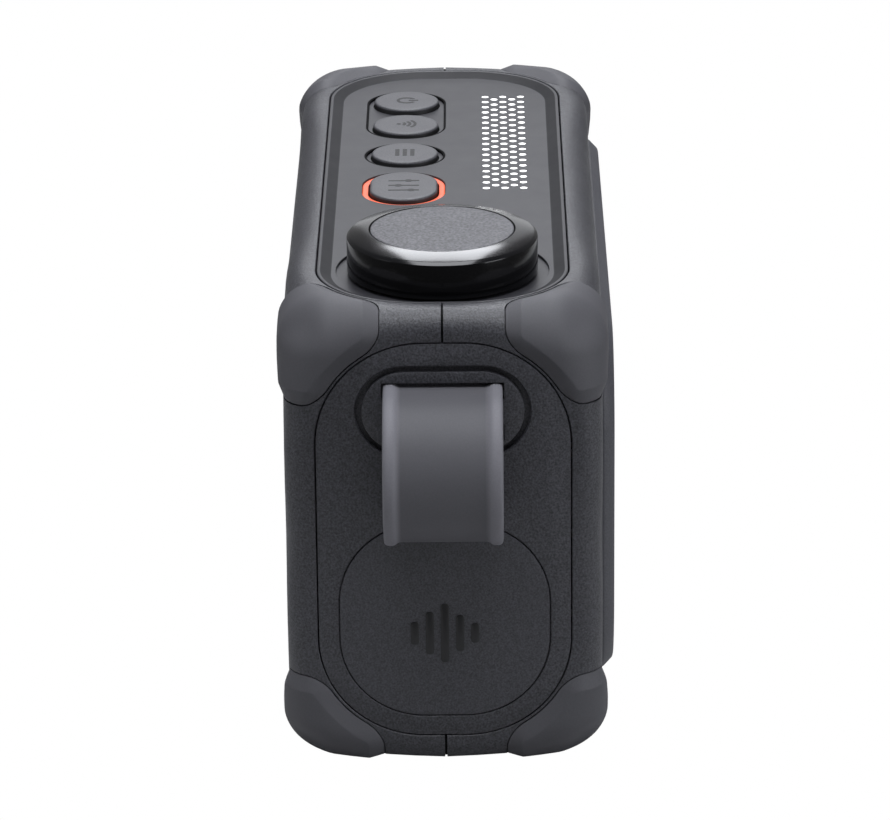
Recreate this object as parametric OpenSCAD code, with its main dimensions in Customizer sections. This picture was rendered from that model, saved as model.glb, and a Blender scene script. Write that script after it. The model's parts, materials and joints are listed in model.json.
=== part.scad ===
// Portable practice amplifier and wireless loudspeaker.
// A two-part casing, split along its middle, carries a dished control panel on top, a grille in
// front, a cap on each end, a raised cover at the back and a rubber guard on each of its corners.
// X runs along the casing, with the big knob and the carry strap at the +X end. The grille faces
// -Y. Z is up, and the guards stand on Z = 0.

/* [Casing] */
// Length of the casing
body_l = 246; // [244:1:256]
// Depth of the casing, front to back
body_w = 90; // [90:1:94]
// Height of the casing without its guards
body_h = 137; // [136:1:145]
// Radius along every edge of the casing
edge_r = 9; // [8.5:0.25:9.5]
// Thickness of the casing's walls
wall = 2.6; // [2.4:0.1:2.8]
// Corner radius of the panel set into each face
panel_r = 30; // [29:0.5:30.5]
// Distance from the casing's edge to the panels set into its faces
face_inset = 9.1; // [9:0.1:9.5]

/* [Corner guards] */
// How far the guards stand out of the casing
guard_out = 1.5; // [1.2:0.1:2]
// How deep the guards are let into the casing
guard_sink = 1; // [0.8:0.1:1.2]
// How far each guard reaches along the casing's edges
guard_reach = 27.3; // [26:0.1:28]

/* [Control panel] */
// Depth of the dished floor of the control panel below its rim
dish_depth = 1.5; // [1.2:0.1:1.8]
// Width of the sloping border around the dished floor
dish_border = 4.1; // [3.5:0.1:4.5]
// Radius of the three round buttons
button_r = 10.15; // [9.5:0.05:10.3]
// Height of the buttons over the panel's floor
button_rise = 1; // [0.8:0.1:1.4]
// Travel of the buttons
button_travel = 0.6; // [0.4:0.1:0.7]
// Width of the well around each button
well_rim = 2.2; // [2:0.1:2.4]

/* [Knob] */
// Outer radius of the knob
knob_r = 27.3; // [26:0.1:27.5]
// Height of the knob over the panel's floor
knob_h = 12.4; // [11.5:0.1:13]
// Radius of the disc set into the knob's top
disc_r = 20.6; // [19:0.1:21]
// Radius of the shallow well that the knob stands in
collar_r = 30.5; // [30:0.1:31]
// Travel of the knob when it is pressed
knob_travel = 0.5; // [0.3:0.1:0.5]

/* [Carry strap] */
// Width of the strap
strap_w = 33.6; // [30:0.1:34]
// Thickness of the strap's web
strap_t = 3.5; // [3:0.1:3.8]
// Height of the ribs along the strap's edges
strap_rib = 1; // [0.6:0.1:1.2]

/* [Drivers] */
// Radius of the frames of the loudspeaker and of the passive radiator
frame_r = 43; // [41:0.5:43]
// Travel of the cone each way
cone_travel = 2; // [1:0.5:2]

/* [Hidden] */

$fn = 64;
hull_fn = 32;
eps = 0.01;
gap = 0.1;

foot_z = guard_out;
top_z = foot_z + body_h;
mid_z = foot_z + body_h / 2;
half_l = body_l / 2;
half_w = body_w / 2;
ledge_w = 3;
ledge_t = 2;
ledge_back = 5;
OPEN_FACES = ["top", "front", "right", "left"];
ALL_FACES = ["top", "bottom", "front", "rear", "right", "left"];

// Pegs that hold the guards to the casing's ends
guard_peg_y = half_w - 14;
guard_peg_z = body_h / 2 - 14;
guard_peg_r = 2;

floor_z = top_z - dish_depth;
panel_t = 2;
panel_under = floor_z - panel_t;
flange_t = 2.5;

// Buttons, from the far end towards the knob
button_y = -11.9;
power_x = half_l - 205.9;
wireless_x = half_l - 180.7;
menu_x = half_l - 151.1;
effects_x = half_l - 118.2;
effects_half = 3.5;
button_gap = 0.4;
flange_r = button_r + 1.35;
button_top = floor_z + button_rise;
well_depth = 0.7;
well_r = button_r + well_rim;
ring_drop = 0.1;
flange_low = panel_under - 1.3;
ring_flange_z = panel_under - 1.1;

// Light matrix
matrix_x = half_l - 165.1;
matrix_y = 18.5;
matrix_l = 97;
matrix_w = 15;
matrix_skin = 0.8;

board_z = top_z - 11.1;
board_t = 1.6;
switch_h = 2.7;
stem_r = 1.7;
matrix_z = board_z + board_t;
guide_top = floor_z - matrix_skin - 0.05;
board_left = power_x - 14;
board_right = effects_x + 20;
post_front = -26.5;
post_rear = 29;
board_mid = (board_left + board_right) / 2 + 9;
board_posts = [[board_left + 3, post_front + 0.5], [board_left + 3, post_rear - 2],
  [board_mid, post_front], [board_mid, post_rear],
  [board_right - 4, post_front], [board_right - 4, post_rear]];

// Knob and encoder
knob_x = half_l - 42.4;
collar_depth = 0.8;
shaft_r = 3;
shaft_fit = 0.05;
bushing_r = 4.5;
encoder_z = board_z - 7.9;
encoder_top = encoder_z + 8.5;
bushing_top = floor_z + 3;
shaft_z = encoder_z + 3.1;
knob_top = floor_z + knob_h;
hub_low = bushing_top + 0.9;
hub_top = knob_top - 2;
shaft_top = hub_top - 1;

// Oval strap plug and badge on the right end
plug_z = foot_z + 107.7;
plug_half = 11.1;
plug_r = 13.5;
plug_gap = 1.7;
plug_depth = 6;
badge_w = 59.6;
badge_h = 58.8;
badge_r = 24;
badge_z = foot_z + 44.7;
badge_t = 1;
cap_t = wall;

// Carry strap: an outer arc, a tight bend below it, a straight back leg and a turn into the plug
strap_arc_x = half_l + 3;
strap_arc_z = foot_z + 92.9;
strap_inner_r = 18.5;
strap_rib_w = 3.4;
strap_mid_r = strap_inner_r + strap_t / 2;
strap_arc_end = atan2(4, 3);
strap_bend_r = 6;
strap_root = 5;
slot_high = strap_arc_z + strap_mid_r;
slot_low = foot_z + 102;
bend_x = strap_arc_x + (strap_mid_r - strap_bend_r) * cos(strap_arc_end);
bend_z = strap_arc_z - (strap_mid_r - strap_bend_r) * sin(strap_arc_end);
leg_x = bend_x - strap_bend_r;
turn_z = slot_low - strap_bend_r;

// Loudspeaker and passive radiator
driver_x = -60;
radiator_x = 48;
driver_z = foot_z + 64.5;
baffle_y = -half_w + wall + ledge_t;
baffle_t = 3;
baffle_back = baffle_y + baffle_t;
baffle_hole_r = 36;
frame_t = 2;
surround_out = 35.8;
surround_in = 31.3;
cone_r = 31;
coil_r = 13;
cone_depth = 14;
coil_l = 12;
magnet_r = 30;
basket_depth = 18;
magnet_y = baffle_back + basket_depth;

// Battery
cell_r = 10.75;
cell_l = 70;
cell_y = 21;
cell_z = foot_z + 15;
tray_l = 2 * cell_l + 10;
tray_side = 1.6;

// Boards and sockets at the back
main_y = half_w - wall - 8;
main_left = -68;
main_l = 148;
main_low = foot_z + 25.5;
main_h = 88.5;
main_posts = [for (x = [main_left + 4, main_left + main_l - 4], z = [main_low + 1.5, main_low + 85])
  [x, z]];
port_x = -half_l + 41;
port_w = 24;
port_h = 64;
port_lip = 2;
port_y = half_w - 1.4;
jack_z = mid_z + 18;
phones_z = mid_z;
usb_z = mid_z - 17;
jack_depth = 32;
jack_bore = 3.25;
phones_bore = 1.8;

// Raised cover at the back
cover_l = body_l - 24;
cover_h = body_h - 29.2;
cover_out = 3.1;
cover_slope = 3.7;
cover_skin = 1.6;
cover_hollow = 14;
cover_screw_spots = [for (x = [-70, 0, 70], side = [-1, 1]) [x, mid_z + side * 46.5]];

screw_x = half_l - 15;
screw_z = [foot_z + 15, top_z - 15];

// The origin is the centre of the whole object's footprint
strap_out = strap_arc_x + strap_inner_r + strap_t + strap_rib;
right_x = strap_out;
left_x = -half_l - guard_out;
front_y = -half_w - guard_out;
rear_y = half_w + cover_out;
origin_shift = [-(right_x + left_x) / 2, -(front_y + rear_y) / 2, 0];

panel_grey = [0.42, 0.42, 0.45];
case_grey = [0.2, 0.2, 0.23];
guard_grey = [0.36, 0.36, 0.39];

// ---- shared shapes ----

module rounded_rect(l, w, r) {
  square([l - 2 * r, w], center = true);
  square([l, w - 2 * r], center = true);
  for (sx = [-1, 1], sy = [-1, 1])
    translate([sx * (l / 2 - r), sy * (w / 2 - r)]) circle(r);
}

// Two round ends joined by straight sides; with no half length it is a plain circle
module stadium(half, r) {
  if (half > 0) {
    square([2 * half, 2 * r], center = true);
    for (s = [-1, 1]) translate([s * half, 0]) circle(r);
  } else {
    circle(r);
  }
}

// A sphere whose facets reach its true radius along each axis
module corner_ball(r) {
  rings = hull_fn / 2;
  sphere(r / cos(90 / rings), $fn = hull_fn);
}

// The rounded block near one corner of the casing, grown by a distance
module corner_block(sx, sy, sz, grow) {
  r = edge_r + grow;
  run = 3 * guard_reach;
  translate([sx * (half_l - edge_r), sy * (half_w - edge_r), mid_z + sz * (body_h / 2 - edge_r)])
    hull() {
      corner_ball(r);
      translate([-sx * run, 0, 0]) rotate([0, 90, 0]) cylinder(h = eps, r = r, $fn = hull_fn);
      translate([0, -sy * run, 0]) rotate([90, 0, 0]) cylinder(h = eps, r = r, $fn = hull_fn);
      translate([0, 0, -sz * run]) cylinder(h = eps, r = r, $fn = hull_fn);
    }
}

// The casing's hollow: three rounded prisms crossing one another
module cavity() {
  l = body_l - 2 * wall;
  w = body_w - 2 * wall;
  h = body_h - 2 * wall;
  translate([0, 0, mid_z])
    intersection() {
      translate([0, 0, -h / 2]) linear_extrude(h) rounded_rect(l, w, edge_r);
      translate([-l / 2, 0, 0]) rotate([90, 0, 90]) linear_extrude(l) rounded_rect(w, h, edge_r);
      translate([0, w / 2, 0]) rotate([90, 0, 0]) linear_extrude(w) rounded_rect(l, h, edge_r);
    }
}

// The casing's block with every edge rounded, grown by a distance on all sides
module rounded_box(grow) {
  hull()
    for (sx = [-1, 1], sy = [-1, 1], sz = [-1, 1])
      translate([sx * (half_l - edge_r), sy * (half_w - edge_r), mid_z + sz * (body_h / 2 - edge_r)])
        corner_ball(edge_r + grow);
}

// Puts its children on a face: their Z points out of it and their XY plane lies in it
module on_face(face) {
  if (face == "top") translate([0, 0, top_z]) children();
  if (face == "bottom") translate([0, 0, foot_z]) rotate([180, 0, 0]) children();
  if (face == "front") translate([0, -half_w, mid_z]) rotate([90, 0, 0]) children();
  if (face == "rear") translate([0, half_w, mid_z]) rotate([90, 0, 180]) children();
  if (face == "right") translate([half_l, 0, mid_z]) rotate([90, 0, 90]) children();
  if (face == "left") translate([-half_l, 0, mid_z]) rotate([90, 0, -90]) children();
}

function face_size(face) =
  (face == "top" || face == "bottom") ? [body_l, body_w] :
  (face == "front" || face == "rear") ? [body_l, body_h] : [body_w, body_h];

// The outline of the panel set into a face, grown by a distance
module face_outline(face, grow) {
  size = face_size(face);
  rounded_rect(size[0] - 2 * face_inset + 2 * grow, size[1] - 2 * face_inset + 2 * grow,
    panel_r + grow);
}

module face_prism(face, grow, low, high) {
  on_face(face) translate([0, 0, low]) linear_extrude(high - low) face_outline(face, grow);
}

// Puts its children at a point, with their Z along +Y
module along_y(x, y, z) {
  translate([x, y, z]) rotate([-90, 0, 0]) children();
}

// A cube over one corner of the casing
module corner_region(sx, sy, sz) {
  size = guard_reach + 20;
  translate([sx * (half_l - guard_reach + size / 2), sy * (half_w - guard_reach + size / 2),
      mid_z + sz * (body_h / 2 - guard_reach + size / 2)])
    cube(size, center = true);
}

module face_prisms(grow) {
  for (face = ALL_FACES) face_prism(face, grow, -8, 10);
}

module peg_holes(sy) {
  for (sx = [-1, 1], sz = [-1, 1])
    translate([sx * (half_l - 6), sy * guard_peg_y, mid_z + sz * guard_peg_z])
      rotate([0, 90, 0]) cylinder(h = 16, r = guard_peg_r + gap, center = true);
}

// ---- casing ----

module casing_half(sy) {
  difference() {
    union() {
      difference() {
        rounded_box(0);
        cavity();
      }
      for (face = OPEN_FACES)
        face_prism(face, ledge_back, -wall - ledge_t, -wall + 0.4);
    }
    // Only this half is kept
    translate([0, -sy * 100, mid_z]) cube([400, 200, 300], center = true);
    for (face = OPEN_FACES) {
      face_prism(face, -ledge_w, -12, 5);
      face_prism(face, gap, -wall, 5);
    }
    // Seats of the corner guards
    difference() {
      for (sx = [-1, 1], sz = [-1, 1]) corner_region(sx, sy, sz);
      rounded_box(-guard_sink);
      face_prisms(0.5);
    }
    peg_holes(sy);
  }
}

module screw_axis(sx, z, y) {
  translate([sx * screw_x, y, z]) rotate([-90, 0, 0]) children();
}

module front_shell() {
  color(case_grey)
    difference() {
      union() {
        casing_half(-1);
        for (sx = [-1, 1], z = screw_z)
          screw_axis(sx, z, -half_w + 2) cylinder(h = half_w - 2.2, r = 3.5);
      }
      for (sx = [-1, 1], z = screw_z)
        screw_axis(sx, z, -20) cylinder(h = 21, r = 1.3);
    }
}

module rear_shell() {
  color(case_grey)
    difference() {
      union() {
        casing_half(1);
        for (sx = [-1, 1], z = screw_z)
          screw_axis(sx, z, 0.2) cylinder(h = half_w - 2, r = 4.2);
        for (p = cover_screw_spots) along_y(p[0], half_w - 8, p[1]) cylinder(h = 6, r = 3.2);
        for (p = main_posts)
          along_y(p[0], main_y + board_t, p[1]) cylinder(h = half_w - 1 - main_y - board_t, r = 2.5);
      }
      for (sx = [-1, 1], z = screw_z) {
        screw_axis(sx, z, -1) cylinder(h = half_w + 2, r = 1.7);
        screw_axis(sx, z, half_w - 5) cylinder(h = 8, r = 3.2);
      }
      // Service opening behind the raised cover
      along_y(0, half_w - 5, mid_z) linear_extrude(8) rounded_rect(200, 76, 10);
      for (p = cover_screw_spots) along_y(p[0], half_w - 8, p[1]) cylinder(h = 12, r = 1.3);
      for (p = main_posts) along_y(p[0], main_y, p[1]) cylinder(h = 7, r = 1);
    }
}

module case_screws() {
  color("dimgray")
    for (sx = [-1, 1], z = screw_z)
      screw_axis(sx, z, 0) {
        translate([0, 0, -16]) cylinder(h = half_w + 11.1, r = 1.25);
        translate([0, 0, half_w - 4.9]) cylinder(h = 2, r = 3);
      }
}

// ---- corner guards ----

module guard(sx, sy, sz) {
  color(guard_grey) {
    difference() {
      intersection() {
        corner_block(sx, sy, sz, guard_out);
        corner_region(sx, sy, sz);
      }
      corner_block(sx, sy, sz, -guard_sink + gap / 2);
      face_prisms(0.6);
    }
    translate([sx * (half_l - guard_sink - 1.7), sy * guard_peg_y, mid_z + sz * guard_peg_z])
      rotate([0, 90, 0]) cylinder(h = 4, r = guard_peg_r, center = true);
  }
}

// ---- control panel ----

module well(x, half, r, depth) {
  translate([x, button_y, floor_z - depth]) linear_extrude(depth + 3) stadium(half, r);
}

module top_panel() {
  color(panel_grey)
    difference() {
      union() {
        face_prism("top", 0, -flange_t, 0);
        face_prism("top", -ledge_w - 0.2, panel_under - top_z, -flange_t + 0.5);
        for (p = board_posts)
          translate([p[0], p[1], matrix_z]) cylinder(h = panel_under - matrix_z + 0.5, r = 2.5);
      }
      // Dished floor with sloping borders
      hull() {
        face_prism("top", -dish_border, -dish_depth, -dish_depth + eps, $fn = hull_fn);
        face_prism("top", -0.3, 0.2, 0.2 + eps, $fn = hull_fn);
      }
      // One well around the first two buttons, one around the third
      well((power_x + wireless_x) / 2, (wireless_x - power_x) / 2, well_r, well_depth);
      well(menu_x, 0, well_r, well_depth);
      for (x = [power_x, wireless_x, menu_x])
        translate([x, button_y, panel_under - 1]) cylinder(h = 6, r = button_r + button_gap);
      well(effects_x, effects_half, well_r + gap, 5);
      // Pocket for the light guide, under a thin skin
      translate([matrix_x, matrix_y, (panel_under + floor_z - matrix_skin) / 2 - 1])
        cube([matrix_l + 2 * gap, matrix_w + 2 * gap, panel_t - matrix_skin + 2], center = true);
      // Knob well and encoder bush
      translate([knob_x, 0, floor_z - collar_depth]) cylinder(h = 5, r = collar_r);
      translate([knob_x, 0, panel_under - 1]) cylinder(h = 5, r = bushing_r + gap);
      for (p = board_posts)
        translate([p[0], p[1], board_z]) cylinder(h = 6.5, r = 1);
    }
}

// A button: a cap over a retaining flange, with a stem down into its switch
module button(x, half, flange_z) {
  translate([x, button_y, 0]) {
    translate([0, 0, flange_z]) linear_extrude(button_top - 0.5 - flange_z) stadium(half, button_r);
    translate([0, 0, button_top - 0.5]) linear_extrude(0.5) stadium(half, button_r - 0.3);
    translate([0, 0, flange_z]) linear_extrude(1) stadium(half, flange_r);
    translate([0, 0, board_z + board_t + switch_h - 1])
      cylinder(h = flange_z - board_z - board_t - switch_h + 1.5, r = stem_r);
  }
}

module power_button() { color(panel_grey) button(power_x, 0, flange_low); }
module wireless_button() { color(panel_grey) button(wireless_x, 0, flange_low); }
module menu_button() { color(panel_grey) button(menu_x, 0, flange_low); }
module effects_button() { color(panel_grey) button(effects_x, effects_half, flange_low - 1.1); }

module effects_light_ring() {
  color("orangered")
    translate([effects_x, button_y, 0])
      difference() {
        union() {
          translate([0, 0, ring_flange_z]) linear_extrude(floor_z - ring_drop - ring_flange_z)
            stadium(effects_half, well_r);
          translate([0, 0, ring_flange_z]) linear_extrude(1) stadium(effects_half, well_r + 1);
        }
        translate([0, 0, ring_flange_z - 1]) linear_extrude(6)
          stadium(effects_half, button_r + button_gap);
      }
}

module button_switches() {
  color("black")
    for (x = [power_x, wireless_x, menu_x, effects_x])
      translate([x, button_y, board_z + board_t])
        difference() {
          translate([-3, -3, 0]) cube([6, 6, switch_h]);
          translate([0, 0, 0.8]) cylinder(h = switch_h, r = stem_r + button_gap);
        }
}

module control_board() {
  color("darkgreen")
    difference() {
      translate([board_left, -31, board_z]) cube([board_right - board_left, 64, board_t]);
      for (p = board_posts) translate([p[0], p[1], board_z - 1]) cylinder(h = 4, r = 1.2);
    }
}

module board_screw() {
  translate([0, 0, -1.5]) cylinder(h = 1.5, r = 2);
  cylinder(h = 6, r = 0.95);
}

module board_screws() {
  color("silver") {
    for (p = board_posts) translate([p[0], p[1], board_z]) board_screw();
    for (p = main_posts) along_y(p[0], main_y, p[1]) board_screw();
  }
}

module led_matrix() {
  color("white")
    translate([matrix_x - matrix_l / 2 + 1, matrix_y - matrix_w / 2 + 1, matrix_z])
      cube([matrix_l - 2, matrix_w - 2, 3]);
}

module light_guide() {
  color("lightgray")
    translate([matrix_x - matrix_l / 2, matrix_y - matrix_w / 2, matrix_z + 3])
      cube([matrix_l, matrix_w, guide_top - matrix_z - 3]);
}

// ---- knob and encoder ----

module encoder_body() {
  color("silver")
    translate([knob_x, 0, 0])
      difference() {
        union() {
          translate([-7, -7, encoder_z]) cube([14, 14, encoder_top - encoder_z]);
          translate([0, 0, encoder_top - 1]) cylinder(h = panel_under - encoder_top + 0.9, r = 6.5);
          translate([0, 0, encoder_top]) cylinder(h = bushing_top - encoder_top, r = bushing_r);
        }
        translate([0, 0, encoder_z + 2.2]) cylinder(h = 3.1, r = 5.5);
        translate([0, 0, encoder_z + 2.2]) cylinder(h = 40, r = shaft_r + shaft_fit);
      }
}

module encoder_nut() {
  color("silver")
    translate([knob_x, 0, floor_z - collar_depth])
      difference() {
        cylinder(h = 2.2, r = 7, $fn = 6);
        translate([0, 0, -1]) cylinder(h = 5, r = bushing_r);
      }
}

module encoder_rotor() {
  color("gold")
    translate([knob_x, 0, encoder_z + 2.5])
      difference() {
        cylinder(h = 2.5, r = 5.2);
        translate([0, 0, -1]) cylinder(h = 5, r = shaft_r + shaft_fit);
      }
}

module encoder_shaft() {
  color("silver") translate([knob_x, 0, shaft_z]) cylinder(h = shaft_top - shaft_z, r = shaft_r);
}

module knob_hub() {
  color("dimgray")
    translate([knob_x, 0, 0])
      difference() {
        union() {
          translate([0, 0, hub_low]) cylinder(h = hub_top - hub_low, r = 6);
          translate([0, 0, hub_top - 4]) cylinder(h = 4, r = disc_r);
          translate([0, 0, hub_top - 4]) cylinder(h = 2.4, r = knob_r - 3);
        }
        translate([0, 0, hub_low - 1]) cylinder(h = shaft_top - hub_low + 1, r = shaft_r);
      }
}

module knob_ring() {
  color([0.1, 0.1, 0.11])
    translate([knob_x, 0, 0])
      rotate_extrude()
        polygon([
          [knob_r - 3, floor_z], [knob_r - 0.4, floor_z], [knob_r, floor_z + 0.4],
          [knob_r, knob_top - 2.2], [knob_r - 0.9, knob_top - 1.3], [disc_r + 0.3, knob_top],
          [disc_r + 0.3, hub_top - 1.6], [knob_r - 3, hub_top - 1.6]
        ]);
}

module knob_cap() {
  color("gray")
    translate([knob_x, 0, hub_top]) {
      cylinder(h = 1.7, r = disc_r);
      cylinder(h = 2, r = disc_r - 0.3);
    }
}

// ---- right end: cap, strap plug, strap, badge ----

module oval_at_plug(low, high, grow) {
  translate([half_l + low, 0, plug_z]) rotate([90, 0, 90])
    linear_extrude(high - low) stadium(plug_half, plug_r + grow);
}

module badge_prism(side, low, high, grow) {
  on_face(side) translate([0, badge_z - mid_z, low]) linear_extrude(high - low)
    rounded_rect(badge_w + 2 * grow, badge_h + 2 * grow, badge_r + grow);
}

module end_cap_right() {
  color(case_grey)
    difference() {
      union() {
        face_prism("right", 0, -cap_t, 0);
        oval_at_plug(-plug_depth - 2, -1, 1.8);
      }
      oval_at_plug(-plug_depth, 1, 0);
      badge_prism("right", -badge_t, 1, gap);
      for (s = [-1, 1])
        translate([half_l - 12, s * 19, plug_z]) rotate([0, 90, 0]) cylinder(h = 8, r = 1.7);
    }
}

module end_cap_left() {
  color(case_grey)
    difference() {
      face_prism("left", 0, -cap_t, 0);
      badge_prism("left", -badge_t, 1, gap);
    }
}

// A plate with a generic mark of five raised bars, like a level meter
module badge(side) {
  badge_prism(side, -badge_t, 0, 0);
  bar_heights = [7, 13, 18, 11, 6];
  on_face(side)
    for (i = [0:4])
      translate([(i - 2) * 4.4, badge_z - mid_z - 4, 0])
        translate([-1.2, -bar_heights[i] / 2, -eps]) cube([2.4, bar_heights[i], 0.4]);
}

module badge_right() { color(case_grey) badge("right"); }
module badge_left() { color(case_grey) badge("left"); }

module strap_slot(z, rib_side) {
  translate([half_l - 10, -strap_w / 2 - 0.2, z - strap_t / 2 - 0.2 - (rib_side < 0 ? strap_rib : 0)])
    cube([14, strap_w + 0.4, strap_t + strap_rib + 0.4]);
}

module strap_plug() {
  color(case_grey)
    difference() {
      oval_at_plug(-plug_depth, 0, -plug_gap);
      strap_slot(slot_high, 1);
      strap_slot(slot_low, -1);
      for (s = [-1, 1])
        translate([half_l - 7, s * 19, plug_z]) rotate([0, 90, 0]) cylinder(h = 5.5, r = 1.3);
    }
}

module plug_screws() {
  color("silver")
    for (s = [-1, 1])
      translate([half_l, s * 19, plug_z]) rotate([0, 90, 0]) {
        translate([0, 0, -plug_depth - 3.6]) cylinder(h = 1.5, r = 2.8);
        translate([0, 0, -plug_depth - 2.1]) cylinder(h = 6, r = 1.25);
      }
}

// Part of a ring between two radii, from one angle to another
module ring_sector(r_in, r_out, from, to) {
  steps = 5;
  reach = 1.5 * r_out;
  intersection() {
    difference() {
      circle(r_out);
      circle(r_in);
    }
    polygon(concat([[0, 0]],
      [for (i = [0:steps]) let (a = from + (to - from) * i / steps) reach * [cos(a), sin(a)]]));
  }
}

// The strap from the side, thickened from its middle line to both of its sides
module strap_profile(inside, outside) {
  root_x = half_l - strap_root;
  translate([root_x, slot_high - inside]) square([strap_arc_x - root_x, inside + outside]);
  translate([strap_arc_x, strap_arc_z])
    ring_sector(strap_mid_r - inside, strap_mid_r + outside, -strap_arc_end, 90);
  translate([bend_x, bend_z])
    ring_sector(strap_bend_r - inside, strap_bend_r + outside, -180, -strap_arc_end);
  translate([leg_x - outside, bend_z]) square([inside + outside, turn_z - bend_z]);
  translate([leg_x - strap_bend_r, turn_z])
    ring_sector(strap_bend_r - outside, strap_bend_r + inside, 0, 90);
  translate([root_x, slot_low - outside]) square([leg_x - strap_bend_r - root_x, inside + outside]);
}

// A flat web with a raised rib along each of its edges
module carry_strap() {
  half = strap_w / 2;
  color(guard_grey)
    rotate([90, 0, 0]) {
      translate([0, 0, -half]) linear_extrude(strap_w) strap_profile(strap_t / 2, strap_t / 2);
      for (y = [-half, half - strap_rib_w])
        translate([0, 0, y]) linear_extrude(strap_rib_w)
          strap_profile(strap_t / 2, strap_t / 2 + strap_rib);
    }
}

// ---- front: grille, baffle, loudspeaker, passive radiator ----

module front_grille() {
  color([0.25, 0.25, 0.28])
    difference() {
      face_prism("front", 0, -wall, -0.3);
      face_prism("front", -1, -wall - 1, -1.3);
    }
}

module grille_cloth() {
  color("black") face_prism("front", -1.1, -wall + 0.05, -wall + 0.65);
}

module baffle() {
  color([0.12, 0.12, 0.12])
    difference() {
      face_prism("front", -gap, -wall - ledge_t - baffle_t, -wall - ledge_t);
      for (x = [driver_x, radiator_x])
        along_y(x, baffle_y - 1, driver_z) {
          cylinder(h = 6, r = baffle_hole_r);
          for (a = [45:90:315]) rotate([0, 0, a]) translate([frame_r - 3, 0, 0]) cylinder(h = 6, r = 1);
        }
    }
}

module driver_frame_ring(x) {
  along_y(x, baffle_back, driver_z)
    difference() {
      cylinder(h = frame_t, r = frame_r);
      translate([0, 0, -1]) cylinder(h = 5, r = surround_out - 0.6);
      for (a = [45:90:315]) rotate([0, 0, a]) translate([frame_r - 3, 0, -1]) cylinder(h = 5, r = 1.3);
    }
}

module driver_basket() {
  color("dimgray") {
    difference() {
      union() {
        driver_frame_ring(driver_x);
        along_y(driver_x, baffle_back + frame_t - 0.2, driver_z)
          cylinder(h = basket_depth - frame_t + 0.2, r1 = 37.6, r2 = 24, $fn = 48);
      }
      along_y(driver_x, baffle_back - 1, driver_z) cylinder(h = 3.2, r = surround_out - 0.6);
      along_y(driver_x, baffle_back + frame_t, driver_z)
        cylinder(h = basket_depth - frame_t - 2, r1 = 35.4, r2 = 22, $fn = 48);
      along_y(driver_x, baffle_back, driver_z) cylinder(h = 40, r = coil_r + 2);
      for (a = [45:90:315])
        along_y(driver_x, baffle_back + 10, driver_z) rotate([0, 0, a])
          translate([29, 0, 0]) cube([22, 17, 12], center = true);
    }
  }
}

// Half-roll edge between a frame and a moving part
module surround(x, inner) {
  roll = (surround_out - inner) / 2;
  along_y(x, baffle_back, driver_z)
    rotate_extrude()
      difference() {
        union() {
          translate([inner + roll, 0]) circle(roll, $fn = 32);
          translate([surround_out - 0.7, -0.4]) square([0.6, 0.4]);
        }
        translate([inner + roll, 0]) circle(roll - 0.5, $fn = 32);
        translate([inner - 1, 0]) square([12, 10]);
      }
}

module driver_surround() { color("black") surround(driver_x, surround_in); }
module radiator_surround() { color("black") surround(radiator_x, surround_in); }

// Paper cone with a domed cap over the coil
module driver_cone() {
  thick = 0.6;
  color([0.15, 0.15, 0.16])
    along_y(driver_x, baffle_back, driver_z)
      rotate_extrude()
        polygon([
          [cone_r, 0], [cone_r, thick], [coil_r + 0.2, cone_depth + thick],
          [coil_r - thick, cone_depth + thick], [coil_r - thick, cone_depth - 3],
          [9, cone_depth - 5.6], [4, cone_depth - 6.8], [0, cone_depth - 7],
          [0, cone_depth - 7.6], [4.4, cone_depth - 7.4], [9.6, cone_depth - 6.2],
          [coil_r + 0.2, cone_depth - 3.4], [cone_r - 2, 0]
        ]);
}

module voice_coil() {
  color("chocolate")
    along_y(driver_x, baffle_back + cone_depth + 0.6, driver_z)
      difference() {
        cylinder(h = coil_l, r = coil_r);
        translate([0, 0, -1]) cylinder(h = coil_l + 2, r = coil_r - 0.6);
      }
}

module driver_magnet() {
  color("gray")
    along_y(driver_x, magnet_y, driver_z)
      difference() {
        cylinder(h = 20, r = magnet_r);
        difference() {
          translate([0, 0, -1]) cylinder(h = 17, r = coil_r + 0.6);
          translate([0, 0, -1]) cylinder(h = 17, r = coil_r - 1.2);
        }
      }
}

module radiator_frame() {
  color("dimgray") driver_frame_ring(radiator_x);
}

module radiator_disc() {
  color([0.15, 0.15, 0.16])
    along_y(radiator_x, baffle_back - 0.6, driver_z) {
      cylinder(h = 1.2, r = cone_r);
      cylinder(h = 5, r = 14);
    }
}

module speaker_screws() {
  color("silver")
    for (x = [driver_x, radiator_x], a = [45:90:315])
      along_y(x, baffle_back + frame_t, driver_z) rotate([0, 0, a])
        translate([frame_r - 3, 0, 0]) {
          cylinder(h = 1.6, r = 2.4);
          translate([0, 0, -4]) cylinder(h = 4.5, r = 0.95);
        }
}

// ---- battery, boards, sockets ----

module battery_cells() {
  color("steelblue")
    for (s = [-1, 1])
      translate([s * (cell_l / 2 + 1), cell_y, cell_z]) rotate([0, 90, 0])
        cylinder(h = cell_l, r = cell_r, center = true);
}

module battery_tray() {
  color([0.15, 0.15, 0.15])
    difference() {
      translate([-tray_l / 2, cell_y - cell_r - tray_side, foot_z + wall])
        cube([tray_l, 2 * (cell_r + tray_side), cell_z - foot_z - wall + 3]);
      for (s = [-1, 1])
        translate([s * (cell_l / 2 + 1), cell_y, cell_z]) {
          rotate([0, 90, 0]) cylinder(h = cell_l + 0.4, r = cell_r + 0.2, center = true);
          translate([0, 0, cell_r]) cube([cell_l + 0.4, 2 * cell_r + 0.4, 2 * cell_r], center = true);
        }
    }
}

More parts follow.
